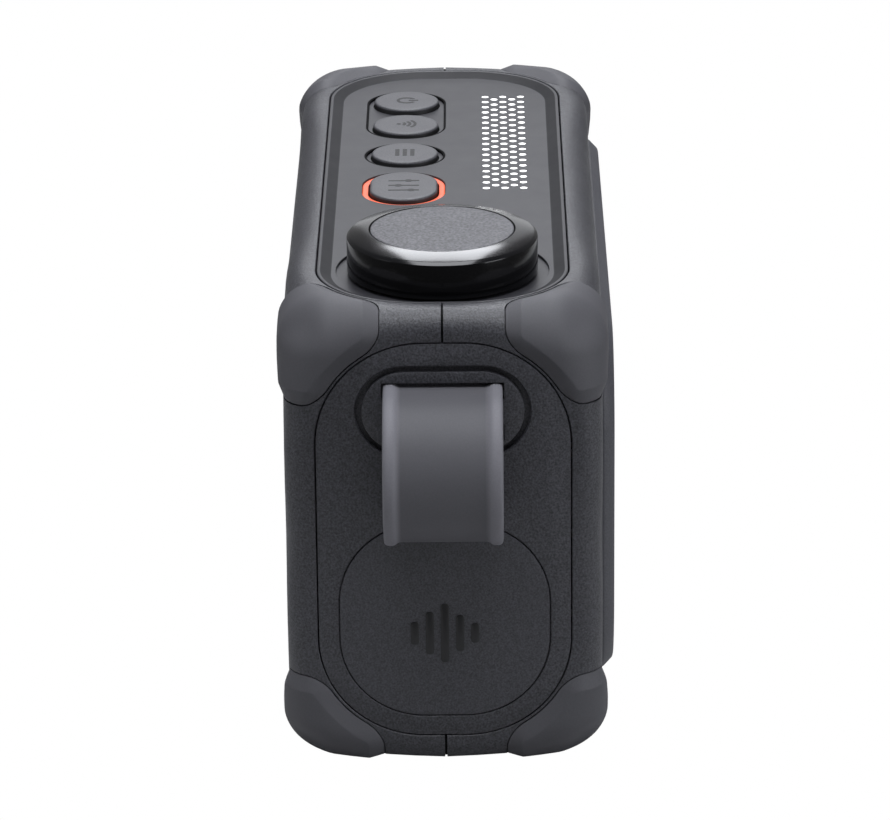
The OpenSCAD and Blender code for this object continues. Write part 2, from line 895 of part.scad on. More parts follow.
module main_board() {
  color("darkgreen") {
    difference() {
      translate([main_left, main_y, main_low]) cube([main_l, board_t, main_h]);
      for (p = main_posts) along_y(p[0], main_y - 1, p[1]) cylinder(h = 4, r = 1.2);
    }
    translate([main_left + 16, main_y - 3, foot_z + 60]) cube([18, 3.2, 18]);
    translate([main_left + 52, main_y - 8, foot_z + 82]) cube([26, 8.2, 22]);
    translate([main_left + 48, main_y - 4, foot_z + 50]) cube([12, 4.2, 12]);
  }
}

// A raised plate with sloping edges, hollow behind, with a window for the socket panel
module rear_cover() {
  color([0.3, 0.3, 0.33])
    difference() {
      hull() {
        along_y(0, half_w, mid_z) linear_extrude(eps)
          rounded_rect(cover_l, cover_h, panel_r, $fn = hull_fn);
        along_y(0, half_w + cover_out - eps, mid_z) linear_extrude(eps)
          rounded_rect(cover_l - 2 * cover_slope, cover_h - 2 * cover_slope,
            panel_r - cover_slope, $fn = hull_fn);
      }
      along_y(0, half_w - 1, mid_z) linear_extrude(cover_out - cover_skin + 1)
        rounded_rect(cover_l - 2 * cover_hollow, cover_h - 2 * cover_hollow, panel_r - cover_hollow);
      along_y(port_x, half_w - 1, mid_z) linear_extrude(6) rounded_rect(port_w, port_h, 4);
      for (p = cover_screw_spots) {
        along_y(p[0], half_w - 1, p[1]) cylinder(h = 8, r = 1.6);
        along_y(p[0], half_w + cover_out - 1.8, p[1]) cylinder(h = 8, r = 3);
      }
    }
}

module cover_screws() {
  color("dimgray")
    for (p = cover_screw_spots) {
      along_y(p[0], half_w - 7, p[1]) cylinder(h = 9, r = 1.25);
      along_y(p[0], half_w + cover_out - 1.8, p[1]) cylinder(h = 1.6, r = 2.9);
    }
}

// A shallow tray behind the cover's window, which the sockets come through
module port_panel() {
  outer_w = port_w + 2 * port_lip;
  outer_h = port_h + 2 * port_lip;
  color([0.15, 0.15, 0.16])
    difference() {
      along_y(port_x, port_y, mid_z) linear_extrude(half_w + cover_out - cover_skin - port_y)
        rounded_rect(outer_w, outer_h, 4 + port_lip);
      along_y(port_x, half_w, mid_z) linear_extrude(6) rounded_rect(port_w, port_h, 4);
      along_y(port_x, half_w - 5, jack_z) cylinder(h = 10, r = 4.6);
      along_y(port_x, half_w - 5, phones_z) cylinder(h = 10, r = 3.1);
      along_y(port_x, half_w - 5, usb_z) linear_extrude(10) stadium(3, 1.9);
    }
}

module instrument_jack() {
  color([0.1, 0.1, 0.1])
    difference() {
      union() {
        translate([port_x - 7, half_w - jack_depth - 2, jack_z - 8])
          cube([14, jack_depth - 0.5, 16]);
        along_y(port_x, port_y - 1.5, jack_z) cylinder(h = 4.7, r = 4.5);
      }
      along_y(port_x, half_w - jack_depth, jack_z) cylinder(h = jack_depth + 5, r = jack_bore);
    }
}

module jack_nut() {
  color("silver")
    along_y(port_x, half_w, jack_z)
      difference() {
        cylinder(h = 1.6, r = 6.6, $fn = 6);
        translate([0, 0, -1]) cylinder(h = 4, r = 4.5);
      }
}

module headphone_jack() {
  color([0.1, 0.1, 0.1])
    difference() {
      union() {
        translate([port_x - 4, half_w - 17, phones_z - 4]) cube([8, 15.5, 8]);
        along_y(port_x, port_y - 1.5, phones_z) cylinder(h = 3.4, r = 3);
      }
      along_y(port_x, half_w - 16, phones_z) cylinder(h = 20, r = phones_bore);
    }
}

module usb_socket() {
  color("silver")
    difference() {
      along_y(port_x, half_w - 8, usb_z) linear_extrude(8.4) stadium(2.9, 1.8);
      along_y(port_x, half_w - 7.2, usb_z) linear_extrude(10) stadium(2.9, 1.4);
    }
}

// ---- assembly ----

// Moves a sub-part from the casing's own middle to the shared origin
module placed() {
  translate(origin_shift) children();
}

placed() front_shell();
placed() rear_shell();
placed() case_screws();
placed() top_panel();
placed() front_grille();
placed() grille_cloth();
placed() end_cap_right();
placed() end_cap_left();
placed() badge_right();
placed() badge_left();
placed() strap_plug();
placed() plug_screws();
placed() carry_strap();
placed() guard(1, -1, 1);  // guard_top_right_front
placed() guard(1, 1, 1);  // guard_top_right_rear
placed() guard(-1, -1, 1);  // guard_top_left_front
placed() guard(-1, 1, 1);  // guard_top_left_rear
placed() guard(1, -1, -1);  // guard_bottom_right_front
placed() guard(1, 1, -1);  // guard_bottom_right_rear
placed() guard(-1, -1, -1);  // guard_bottom_left_front
placed() guard(-1, 1, -1);  // guard_bottom_left_rear
placed() power_button();
placed() wireless_button();
placed() menu_button();
placed() effects_button();
placed() effects_light_ring();
placed() button_switches();
placed() control_board();
placed() board_screws();
placed() led_matrix();
placed() light_guide();
placed() encoder_body();
placed() encoder_nut();
placed() encoder_rotor();
placed() encoder_shaft();
placed() knob_hub();
placed() knob_ring();
placed() knob_cap();
placed() baffle();
placed() driver_basket();
placed() driver_surround();
placed() driver_cone();
placed() voice_coil();
placed() driver_magnet();
placed() radiator_frame();
placed() radiator_surround();
placed() radiator_disc();
placed() speaker_screws();
placed() battery_tray();
placed() battery_cells();
placed() main_board();
placed() rear_cover();
placed() cover_screws();
placed() port_panel();
placed() instrument_jack();
placed() jack_nut();
placed() headphone_jack();
placed() usb_socket();
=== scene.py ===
import bmesh
import bpy
import json
import math
from mathutils import Matrix, Vector


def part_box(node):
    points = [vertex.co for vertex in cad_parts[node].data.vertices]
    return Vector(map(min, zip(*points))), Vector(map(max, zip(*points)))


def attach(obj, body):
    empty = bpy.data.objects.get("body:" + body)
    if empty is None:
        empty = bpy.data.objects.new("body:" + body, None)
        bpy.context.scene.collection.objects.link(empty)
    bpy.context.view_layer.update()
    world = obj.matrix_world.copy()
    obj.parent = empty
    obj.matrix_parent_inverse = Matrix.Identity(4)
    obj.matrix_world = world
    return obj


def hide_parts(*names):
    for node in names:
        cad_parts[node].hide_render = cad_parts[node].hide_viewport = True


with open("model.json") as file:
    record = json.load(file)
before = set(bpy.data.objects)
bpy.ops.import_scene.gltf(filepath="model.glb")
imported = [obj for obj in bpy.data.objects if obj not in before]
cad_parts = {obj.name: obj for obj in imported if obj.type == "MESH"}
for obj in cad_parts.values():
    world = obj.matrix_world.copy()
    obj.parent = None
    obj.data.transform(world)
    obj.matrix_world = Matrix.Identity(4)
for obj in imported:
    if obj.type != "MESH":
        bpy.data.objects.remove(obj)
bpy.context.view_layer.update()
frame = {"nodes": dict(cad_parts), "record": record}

# ---------------------------------------------------------------- measures, in millimetres
# Casing coordinates: X and Y from the casing's middle, Z from what the guards stand on.
front_lo, front_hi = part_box("front_shell")
_, rear_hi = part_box("rear_shell")
MID_X = (front_lo.x + front_hi.x) / 2
MID_Y = (front_lo.y + rear_hi.y) / 2
HALF_L = (front_hi.x - front_lo.x) * 500
HALF_W = (rear_hi.y - front_lo.y) * 500
LOW_Z = front_lo.z * 1000
TOP_Z = front_hi.z * 1000
MID_Z = (LOW_Z + TOP_Z) / 2
HALF_H = (TOP_Z - LOW_Z) / 2
INSET = 9.1  # from a face's edge to its panel
PANEL_R = 30.0
PANEL_GAP = 0.32
WALL = 2.6
SEAM_HALF = 0.33  # half of the parting line's width
GUARD_REACH = 27.3
GUARD_OUT = 1.75
DISH = 1.5
BORDER = 4.1  # width of the panel's sloping border
FLOOR = TOP_Z - DISH


def centre_of(node):
    lo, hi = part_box(node)
    return ((lo.x + hi.x) / 2 - MID_X) * 1000, ((lo.y + hi.y) / 2 - MID_Y) * 1000


KNOB_X, _ = centre_of("knob_ring")
PORT_X, _ = centre_of("port_panel")
KNOB_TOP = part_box("knob_ring")[1].z * 1000
KEY_X = {k: centre_of(k + "_button")[0] for k in ("power", "wireless", "menu", "effects")}
KEY_Y = centre_of("power_button")[1]
KEY_R = 10.15
KEY_LOW = -3.4
EFFECTS_HALF = 3.5
EFFECTS_LOW = -4.5
WELL_R = KEY_R + 2.2
WELL_DEPTH = 0.8
KNOB_R = 27.3
DISC_R = 20.6
COLLAR_R = 30.5
LAMP_COLUMNS, LAMP_ROWS = 35, 5
LAMP_PITCH = (2.77, 2.8)


def metres(p):
    return Vector((p[0] * 0.001 + MID_X, p[1] * 0.001 + MID_Y, p[2] * 0.001))


# ---------------------------------------------------------------- camera
# From the perspective fit: angles in degrees, focal length in pixels, place in metres
ELEVATION, HEADING, ROLL = 20.304, -0.381, -0.566
FOCAL_PX, PHOTO_WIDTH_PX, SENSOR_MM = 5111, 890, 36
CAMERA_AT = (1.45305, 0.00874, 0.60646)


def place_camera():
    elevation, heading, roll = (math.radians(a) for a in (ELEVATION, HEADING, ROLL))
    forward = Vector((-math.cos(elevation) * math.cos(heading),
                      math.cos(elevation) * math.sin(heading), -math.sin(elevation)))
    right = Vector((math.sin(heading), math.cos(heading), 0))
    up = right.cross(forward)
    side = math.cos(roll) * right + math.sin(roll) * up
    top = -math.sin(roll) * right + math.cos(roll) * up
    data = bpy.data.cameras.new("camera")
    data.sensor_width = SENSOR_MM
    data.lens = FOCAL_PX * SENSOR_MM / PHOTO_WIDTH_PX
    data.clip_end = 20
    camera = bpy.data.objects.new("camera", data)
    bpy.context.scene.collection.objects.link(camera)
    turn = Matrix((side, top, -forward)).transposed()
    camera.matrix_world = Matrix.Translation(CAMERA_AT) @ turn.to_4x4()
    bpy.context.scene.camera = camera


place_camera()


# ---------------------------------------------------------------- materials
def new_material(name, colour, roughness, metallic=0.0, specular=0.5):
    m = bpy.data.materials.new(name)
    m.use_nodes = True
    shader = m.node_tree.nodes["Principled BSDF"]
    shader.inputs["Base Color"].default_value = (*colour, 1)
    shader.inputs["Roughness"].default_value = roughness
    shader.inputs["Metallic"].default_value = metallic
    shader.inputs["Specular IOR Level"].default_value = specular
    return m, m.node_tree, shader


def noise(tree, scale, detail=2.0, rough=0.5):
    """A noise in the object's own space; scale is features per metre."""
    coord = tree.nodes.new("ShaderNodeTexCoord")
    n = tree.nodes.new("ShaderNodeTexNoise")
    n.inputs["Scale"].default_value = scale
    n.inputs["Detail"].default_value = detail
    n.inputs["Roughness"].default_value = rough
    tree.links.new(coord.outputs["Object"], n.inputs["Vector"])
    return n.outputs["Fac"]


def ramp(tree, fac, stops):
    r = tree.nodes.new("ShaderNodeValToRGB")
    r.color_ramp.elements[0].position = stops[0][0]
    r.color_ramp.elements[0].color = (*stops[0][1], 1)
    r.color_ramp.elements[1].position = stops[-1][0]
    r.color_ramp.elements[1].color = (*stops[-1][1], 1)
    for pos, colour in stops[1:-1]:
        e = r.color_ramp.elements.new(pos)
        e.color = (*colour, 1)
    tree.links.new(fac, r.inputs["Fac"])
    return r.outputs["Color"]


def scaled(colour, k):
    return tuple(min(1, c * k) for c in colour)


def multiply(tree, first, second, target):
    """Feeds the product of two colours into a socket."""
    mix = tree.nodes.new("ShaderNodeMix")
    mix.data_type = "RGBA"
    mix.blend_type = "MULTIPLY"
    mix.inputs["Factor"].default_value = 1.0
    tree.links.new(first, mix.inputs[6])
    tree.links.new(second, mix.inputs[7])
    tree.links.new(mix.outputs[2], target)


def grained(name, colour, roughness, grain=2600, contrast=0.3, bump=0.25, depth=0.00004,
            cloud=0.08, **kw):
    """Moulded plastic or rubber: salt-and-pepper grain, soft large clouds, fine bump."""
    m, tree, shader = new_material(name, colour, roughness, **kw)
    fine = noise(tree, grain, 3.0, 0.6)
    base = ramp(tree, fine, [(0.32, scaled(colour, 1 - contrast)), (0.5, colour),
                             (0.68, scaled(colour, 1 + contrast))])
    large = noise(tree, 22, 2.0)
    clouds = ramp(tree, large, [(0.3, (1 - cloud,) * 3), (0.7, (1.0,) * 3)])
    multiply(tree, base, clouds, shader.inputs["Base Color"])
    wear = noise(tree, 90, 4.0)
    rough = tree.nodes.new("ShaderNodeMapRange")
    rough.inputs["To Min"].default_value = max(0.02, roughness - 0.06)
    rough.inputs["To Max"].default_value = min(1, roughness + 0.08)
    tree.links.new(wear, rough.inputs["Value"])
    tree.links.new(rough.outputs["Result"], shader.inputs["Roughness"])
    if bump:
        b = tree.nodes.new("ShaderNodeBump")
        b.inputs["Strength"].default_value = bump
        b.inputs["Distance"].default_value = depth
        tree.links.new(fine, b.inputs["Height"])
        tree.links.new(b.outputs["Normal"], shader.inputs["Normal"])
    return m


def painted_edge_highlight(m, middle, half, gain):
    """Paints a highlight into a material: lighter towards two opposite edges, across the object's
    Y, in place of the light that the strap's ribs catch.
    """
    tree = m.node_tree
    base = tree.nodes["Principled BSDF"].inputs["Base Color"]
    source = base.links[0].from_socket
    coord = tree.nodes.new("ShaderNodeTexCoord")
    split = tree.nodes.new("ShaderNodeSeparateXYZ")
    tree.links.new(coord.outputs["Object"], split.inputs[0])
    away = tree.nodes.new("ShaderNodeMath")
    away.operation = "SUBTRACT"
    away.inputs[1].default_value = middle
    tree.links.new(split.outputs["Y"], away.inputs[0])
    size = tree.nodes.new("ShaderNodeMath")
    size.operation = "ABSOLUTE"
    tree.links.new(away.outputs[0], size.inputs[0])
    span = tree.nodes.new("ShaderNodeMapRange")
    span.inputs["From Max"].default_value = half
    tree.links.new(size.outputs[0], span.inputs["Value"])
    painted_lift = ramp(tree, span.outputs["Result"], [(0.70, (1 / gain,) * 3), (0.80, (1.0,) * 3)])
    multiply(tree, source, painted_lift, base)
    return m


def woven(name, colour):
    """Acoustic cloth: a fine over-and-under weave."""
    m, tree, shader = new_material(name, colour, 0.9)
    coord = tree.nodes.new("ShaderNodeTexCoord")
    waves = []
    for direction in ("X", "Z"):
        w = tree.nodes.new("ShaderNodeTexWave")
        w.bands_direction = direction
        w.inputs["Scale"].default_value = 900
        tree.links.new(coord.outputs["Object"], w.inputs["Vector"])
        waves.append(w.outputs["Fac"])
    join = tree.nodes.new("ShaderNodeMath")
    join.operation = "MULTIPLY"
    tree.links.new(waves[0], join.inputs[0])
    tree.links.new(waves[1], join.inputs[1])
    base = ramp(tree, join.outputs["Value"], [(0.1, scaled(colour, 0.4)),
                                              (0.8, scaled(colour, 1.6))])
    tree.links.new(base, shader.inputs["Base Color"])
    return m


def glowing(name, colour, strength, edge):
    """A lamp under a diffuser: its light falls off unevenly over the surface."""
    m, tree, shader = new_material(name, edge, 0.35)
    patch = noise(tree, 700, 2.0)
    base = ramp(tree, patch, [(0.3, scaled(edge, 0.9)), (0.7, edge)])
    tree.links.new(base, shader.inputs["Base Color"])
    light = ramp(tree, patch, [(0.3, scaled(colour, 0.93)), (0.7, colour)])
    tree.links.new(light, shader.inputs["Emission Color"])
    shader.inputs["Emission Strength"].default_value = strength
    return m


CASE = (0.044, 0.0442, 0.051)
PANEL = (0.038, 0.0378, 0.043)
RUBBER = (0.082, 0.0812, 0.09)
STRAP_W, STRAP_T, STRAP_RIB = 33.6, 3.5, 1.0

MAT = {
    "case": grained("case_plastic", CASE, 0.46, grain=1700, contrast=0.62, bump=1.0, depth=0.00014),
    "badge": grained("badge_plastic", scaled(CASE, 1.1), 0.5, grain=1900, contrast=0.45, bump=0.7,
                     depth=0.00008),
    "panel": grained("panel_plastic", PANEL, 0.37, grain=3200, contrast=0.10, bump=0.12,
                     specular=0.24),
    # A darker copy of the panel plastic for its sloping border: painted shade.
    "slope": grained("panel_slope_painted_shade", scaled(PANEL, 0.5), 0.5, grain=3200, contrast=0.10, bump=0.12,
                     specular=0.1),
    "grille": grained("grille_paint", (0.045, 0.045, 0.05), 0.42, grain=3600, contrast=0.15,
                      bump=0.15),
    "cloth": woven("grille_cloth", (0.012, 0.012, 0.013)),
    "screws": grained("screw_steel", (0.35, 0.35, 0.36), 0.32, grain=2500, contrast=0.1, bump=0.1,
                      metallic=1.0),
    # The strap's ribs get a painted highlight: their lighter tone stands in for the light they
    # catch.
    "strap": painted_edge_highlight(grained("strap_rubber", scaled(RUBBER, 2.2), 0.6, grain=2000, contrast=0.05,
                               bump=0.05, specular=0.35), MID_Y, STRAP_W / 2000, 1.9),
    "guards": grained("guard_rubber", RUBBER, 0.62, grain=2000, contrast=0.06, bump=0.06,
                      specular=0.38),
    "light_ring": glowing("ring_light", (1.0, 0.165, 0.06), 0.8, (0.35, 0.04, 0.02)),
    "black_plastic": grained("black_plastic", (0.012, 0.012, 0.013), 0.45, contrast=0.15,
                             bump=0.15),
    "circuit_board": grained("solder_mask", (0.012, 0.07, 0.03), 0.35, grain=900, contrast=0.2,
                             bump=0.1),
    "diffuser": grained("diffuser", (0.7, 0.7, 0.7), 0.6, contrast=0.04, bump=0.05),
    "steel": grained("plated_steel", (0.45, 0.45, 0.46), 0.3, contrast=0.08, bump=0.06,
                     metallic=1.0),
    "brass": grained("brass", (0.55, 0.38, 0.12), 0.3, contrast=0.08, bump=0.06, metallic=1.0),
    "knob_gloss": grained("knob_gloss", (0.004, 0.004, 0.0045), 0.14, contrast=0.05, bump=0.0,
                          cloud=0.02),
    "knob_cone": grained("knob_cone", (0.006, 0.006, 0.007), 0.17, contrast=0.05, bump=0.0,
                         cloud=0.02),
    "knob_disc": grained("knob_disc", (0.072, 0.0715, 0.08), 0.5, grain=1200, contrast=0.6,
                         bump=0.5, depth=0.00007, metallic=0.25),
    "basket": grained("basket_paint", (0.03, 0.03, 0.03), 0.4, contrast=0.1, bump=0.1),
    "surround": grained("surround_rubber", (0.015, 0.015, 0.015), 0.6, contrast=0.08, bump=0.08),
    "cone": grained("cone_paper", (0.02, 0.02, 0.022), 0.75, grain=1500, contrast=0.3, bump=0.4),
    "battery": grained("battery_sleeve", (0.05, 0.16, 0.42), 0.35, contrast=0.05, bump=0.04),
    "rear_cover": grained("rear_plastic", scaled(CASE, 1.5), 0.5, grain=2300, contrast=0.25,
                          bump=0.35),
    "key": grained("key_plastic", scaled(PANEL, 1.4), 0.47, grain=2000, contrast=0.3, bump=0.45,
                   depth=0.00005),
    "seam": grained("seam_shadow", (0.003, 0.003, 0.0035), 0.8, contrast=0.1, bump=0.0,
                    specular=0.1),
    "ink": grained("key_print", (0.008, 0.008, 0.009), 0.6, contrast=0.1, bump=0.0),
    "ring_dark": grained("ring_wall", (0.20, 0.02, 0.012), 0.45, contrast=0.1, bump=0.0),
    "led": glowing("led_white", (1.0, 1.0, 1.0), 1.5, (0.9, 0.9, 0.9)),
}

slot_of = {s["node"]: s["material_slot"] for s in frame["record"]["subparts"]}
for node, obj in frame["nodes"].items():
    obj.data.materials.clear()
    obj.data.materials.append(MAT[slot_of[node]])


# ---------------------------------------------------------------- mesh helpers
def make(name, verts, faces, materials, body="casing", slot=None, replaces=(), closed=True,
         smooth=32, shade=None):
    """A piece from points in millimetres, in casing coordinates."""
    mesh = bpy.data.meshes.new(name)
    mesh.from_pydata([metres(v) for v in verts], [], faces)
    if shade:
        for poly, index in zip(mesh.polygons, shade):
            poly.material_index = index
    bm = bmesh.new()
    bm.from_mesh(mesh)
    bmesh.ops.remove_doubles(bm, verts=bm.verts, dist=2e-7)
    if closed:
        bmesh.ops.recalc_face_normals(bm, faces=bm.faces)
    bm.to_mesh(mesh)
    bm.free()
    obj = bpy.data.objects.new(name, mesh)
    bpy.context.scene.collection.objects.link(obj)
    for key in materials:
        mesh.materials.append(MAT[key])
    soften(mesh, smooth)
    if body:
        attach(obj, body)
        if replaces:
            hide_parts(*replaces)
    return obj


def soften(mesh, angle):
    mesh.polygons.foreach_set("use_smooth", [True] * len(mesh.polygons))
    mesh.set_sharp_from_angle(angle=math.radians(angle))
    mesh.update()


def cut(obj, cutters, angle=32):
    """Takes the cutters' volumes out of a piece, and removes the cutters."""
    for c in cutters:
        mod = obj.modifiers.new("cut", "BOOLEAN")
        mod.operation = "DIFFERENCE"
        mod.solver = "EXACT"
        mod.object = c
    bpy.context.view_layer.update()
    dg = bpy.context.evaluated_depsgraph_get()
    mesh = bpy.data.meshes.new_from_object(obj.evaluated_get(dg))
    old = obj.data
    obj.modifiers.clear()
    obj.data = mesh
    mesh.name = obj.name
    while len(mesh.materials) > len(old.materials):
        mesh.materials.pop()
    last = len(mesh.materials) - 1
    for poly in mesh.polygons:
        poly.material_index = min(poly.material_index, last)
    for c in cutters:
        bpy.data.objects.remove(c)
    soften(mesh, angle)
    return obj


def rr(l, w, r, n=20):
    """Rounded rectangle, anticlockwise."""
    pts = []
    for cx, cy, start in ((l / 2 - r, w / 2 - r, 0), (-l / 2 + r, w / 2 - r, 90),
                          (-l / 2 + r, -w / 2 + r, 180), (l / 2 - r, -w / 2 + r, 270)):
        for i in range(n + 1):
            a = math.radians(start + 90 * i / n)
            pts.append((cx + r * math.cos(a), cy + r * math.sin(a)))
    return pts


def on_face(face, u, v, d):
    if face == "top":
        return (u, v, TOP_Z + d)
    if face == "right":
        return (HALF_L + d, u, MID_Z + v)
    if face == "left":
        return (-HALF_L - d, -u, MID_Z + v)
    if face == "front":
        return (u, -HALF_W - d, MID_Z + v)
    return (-u, HALF_W + d, MID_Z + v)


FACE_SIZE = {"top": (HALF_L, HALF_W), "right": (HALF_W, HALF_H), "left": (HALF_W, HALF_H),
             "front": (HALF_L, HALF_H), "rear": (HALF_L, HALF_H)}


def face_outline(face, grow=0.0, n=24):
    a, b = FACE_SIZE[face]
    return rr(2 * (a - INSET + grow), 2 * (b - INSET + grow), PANEL_R + grow, n)


def stack(rings, caps=(True, True)):
    """Closed mesh data through rings of equal length, from the lowest to the highest."""
    verts, faces, n = [], [], len(rings[0])
    for ring in rings:
        verts += ring
    for k in range(len(rings) - 1):
        a, b = k * n, (k + 1) * n
        for i in range(n):
            j = (i + 1) % n
            faces.append((a + i, a + j, b + j, b + i))
    if caps[0]:
        faces.append(tuple(reversed(range(n))))
    if caps[1]:
        faces.append(tuple(range((len(rings) - 1) * n, len(rings) * n)))
    return verts, faces


def tube(rings):
    """Closed ring-shaped mesh data: the last ring joins the first."""
    verts, faces = stack(rings, (False, False))
    n, last = len(rings[0]), (len(rings) - 1) * len(rings[0])
    for i in range(n):
        j = (i + 1) % n
        faces.append((last + i, last + j, j, i))
    return verts, faces


def face_loft(face, levels, outline=None, at=(0, 0)):
    """levels: (growth of the outline, height over the face)."""
    shape = outline or (lambda g: face_outline(face, g))
    return [[on_face(face, u + at[0], v + at[1], d) for u, v in shape(g)] for g, d in levels]


def stadium(half, r, n=40):
    pts = []
    for side, start in ((1, -90), (-1, 90)):
        for i in range(n + 1):
            a = math.radians(start + 180 * i / n)
            pts.append((side * half + r * math.cos(a), r * math.sin(a)))
    return pts


def circle(r, n=96):
    turns = [2 * math.pi * i / n for i in range(n)]
    return [(r * math.cos(a), r * math.sin(a)) for a in turns]


def box_mesh(x0, x1, y0, y1, z0, z1):
    v = [(x, y, z) for x in (x0, x1) for y in (y0, y1) for z in (z0, z1)]
    f = [(0, 1, 3, 2), (4, 6, 7, 5), (0, 4, 5, 1), (2, 3, 7, 6), (0, 2, 6, 4), (1, 5, 7, 3)]
    return v, f


def cutter(verts, faces):
    return make("cutter", verts, faces, ["case"], body=None)


def edge_radius(m):
    """The casing's edges are rounder near its corners; m is how far away the corner is."""
    near = math.exp(-(m / 23) ** 0.97)
    r = 3.5 + 15.5 * near + 5.5 * (1 - math.exp(-(max(0.0, m - 42) / 20) ** 2))
    return r * (1 + 0.36 * near), r * (1 + 0.20 * near), r * (1 + 0.15 * near)


def skin_value(p):
    m = sum(max(c, 0.0) ** 4 for c in p) ** 0.25
    return sum(max(1 - c / k, 0.0) ** 2 for c, k in zip(p, edge_radius(m)))


def skin_point(way, start):
    """Where a ray from inside leaves the skin, and the outward normal there.

    Points are distances from the three faces that meet at one corner, so outwards is negative."""
    lo, hi = 0.0, 2.6 * max(start[k] for k in range(3) if way[k] > 0)
    for _ in range(34):
        mid = (lo + hi) / 2
        if skin_value([start[k] - way[k] * mid for k in range(3)]) < 1:
            lo = mid
        else:
            hi = mid
    p = [start[k] - way[k] * lo for k in range(3)]
    n = []
    for k in range(3):
        a, b = list(p), list(p)
        a[k] -= 0.01
        b[k] += 0.01
        n.append(skin_value(a) - skin_value(b))
    length = math.sqrt(sum(c * c for c in n))
    return tuple(p), tuple(c / length for c in n)


def skin_grid(arc_steps, flats, ends):
    """Three patches of the skin round one corner, sharing their borders."""
    line = [(math.radians(45 - 45 * i / arc_steps), 0.0) for i in range(arc_steps)]
    line += [(0.0, f) for f in flats]
    points, normals, index, polys = [], [], {}, []
    for axis in range(3):
        grid = []
        for au, su in line:
            row = []
            for av, sv in line:
                n, off = [0.0, 0.0, 0.0], [0.0, 0.0, 0.0]
                n[axis], n[(axis + 1) % 3], n[(axis + 2) % 3] = 1.0, math.tan(au), math.tan(av)
                off[(axis + 1) % 3], off[(axis + 2) % 3] = su, sv
                length = math.sqrt(sum(c * c for c in n))
                away = max(o * e for o, e in zip(off, ends))
                base = 8 + 9 * math.exp(-away / 15)
                start = [base + off[k] * (ends[k] - base) for k in range(3)]
                p, normal = skin_point([c / length for c in n], start)
                key = tuple(round(c, 4) for c in p)
                if key not in index:
                    index[key] = len(points)
                    points.append(p)
                    normals.append(normal)
                row.append(index[key])
            grid.append(row)
        m = len(line)
        for i in range(m - 1):
            for j in range(m - 1):
                quad = [grid[i][j], grid[i][j + 1], grid[i + 1][j + 1], grid[i + 1][j]]
                if len(set(quad)) == 4:
                    polys.append(quad)
    return points, normals, polys


FLATS = (0.0, 0.04, 0.09, 0.15, 0.22, 0.3, 0.4, 0.55, 0.75, 1.0)
BLOCK = skin_grid(8, FLATS, (HALF_L, HALF_W, HALF_H))


def rounded_block(grow=0.0):
    """The casing's block, or the same block grown or shrunk along its normals."""
    points, normals, polys = BLOCK
    verts, faces = [], []
    for sx, sy, sz in CORNERS:
        base = len(verts)
        for p, n in zip(points, normals):
            q = [p[k] - n[k] * grow for k in range(3)]
            for k, half in enumerate((HALF_L, HALF_W, HALF_H)):
                if p[k] > half - 0.01:
                    q[k] = half
            verts.append((sx * (HALF_L - q[0]), sy * (HALF_W - q[1]), MID_Z + sz * (HALF_H - q[2])))
        faces += [tuple(base + i for i in quad) for quad in polys]
    return verts, faces


CORNERS = [(sx, sy, sz) for sx in (1, -1) for sy in (-1, 1) for sz in (1, -1)]


# ---------------------------------------------------------------- corner guards
ARC = PANEL_R + 1.25  # the guards' border follows the panels' corners
ARC_AT = INSET + PANEL_R
GUARD_ROLL, GUARD_RISE, GUARD_FILLET = 0.4, 4.2, 0.4
GUARD_LEVELS = (0.0, 0.1, 0.4, 0.7, 4.0, 4.2, 4.4, 4.6)
GUARD_BACK = -0.9
UNDERSIDE_FLAT = 0.14  # how much less the lower guards stand out underneath
GRIDS = {}


def guard_field(p):
    """How far a point of the casing's skin lies inside a guard's border, in corner distances."""
    a, b, c = p
    limits = [GUARD_REACH - a, GUARD_REACH - b, GUARD_REACH - c]
    for u, v in ((a, b), (a, c), (b, c)):
        limits.append(math.hypot(ARC_AT - u, ARC_AT - v) - ARC)
    k = 5.0
    return k - math.sqrt(sum(max(k - d, 0.0) ** 2 for d in limits))


def guard_height(d):
    """The guard's height over the casing's skin, from its border inwards."""
    if d <= GUARD_ROLL:
        return -0.42 + 0.47 * math.sqrt(max(0.0, 1 - (1 - d / GUARD_ROLL) ** 2))
    if d <= GUARD_RISE:
        return 0.05 + (GUARD_OUT - 0.09) * (d - GUARD_ROLL) / (GUARD_RISE - GUARD_ROLL)
    return GUARD_OUT - 0.04 * max(0.0, 1 - (d - GUARD_RISE) / GUARD_FILLET) ** 2


def guard_patch(signs, arc_steps, flat_steps, levels):
    """The casing's skin near one corner, cut where the field equals each level."""
    flats = [i / flat_steps for i in range(flat_steps + 1)]
    key = (arc_steps, flat_steps)
    if key not in GRIDS:
        GRIDS[key] = skin_grid(arc_steps, flats, (GUARD_REACH + 9,) * 3)
    points, normals, polys = (list(part) for part in GRIDS[key])
    field = [guard_field(p) for p in points]
    shared = {}

    def between(i, j, level):
        key = (min(i, j), max(i, j), level)
        if key not in shared:
            t = (level - field[i]) / (field[j] - field[i])
            shared[key] = len(points)
            points.append(tuple(points[i][k] + t * (points[j][k] - points[i][k]) for k in range(3)))
            n = [normals[i][k] + t * (normals[j][k] - normals[i][k]) for k in range(3)]
            length = math.sqrt(sum(c * c for c in n))
            normals.append([c / length for c in n])
            field.append(level)
        return shared[key]

    for level in levels:
        kept = []
        for poly in polys:
            above, below = [], []
            for i, j in zip(poly, poly[1:] + poly[:1]):
                fi, fj = field[i] - level, field[j] - level
                if fi >= -1e-9:
                    above.append(i)
                if fi <= 1e-9:
                    below.append(i)
                if fi * fj < 0 and min(abs(fi), abs(fj)) > 1e-9:
                    x = between(i, j, level)
                    above.append(x)
                    below.append(x)
            if len(above) > 2 and max(field[i] for i in above) > level + 1e-9:
                kept.append(above)
            inward = level != levels[0] and len(below) > 2
            if inward and min(field[i] for i in below) < level - 1e-9:
                kept.append(below)
        polys = kept
    return points, normals, field, polys


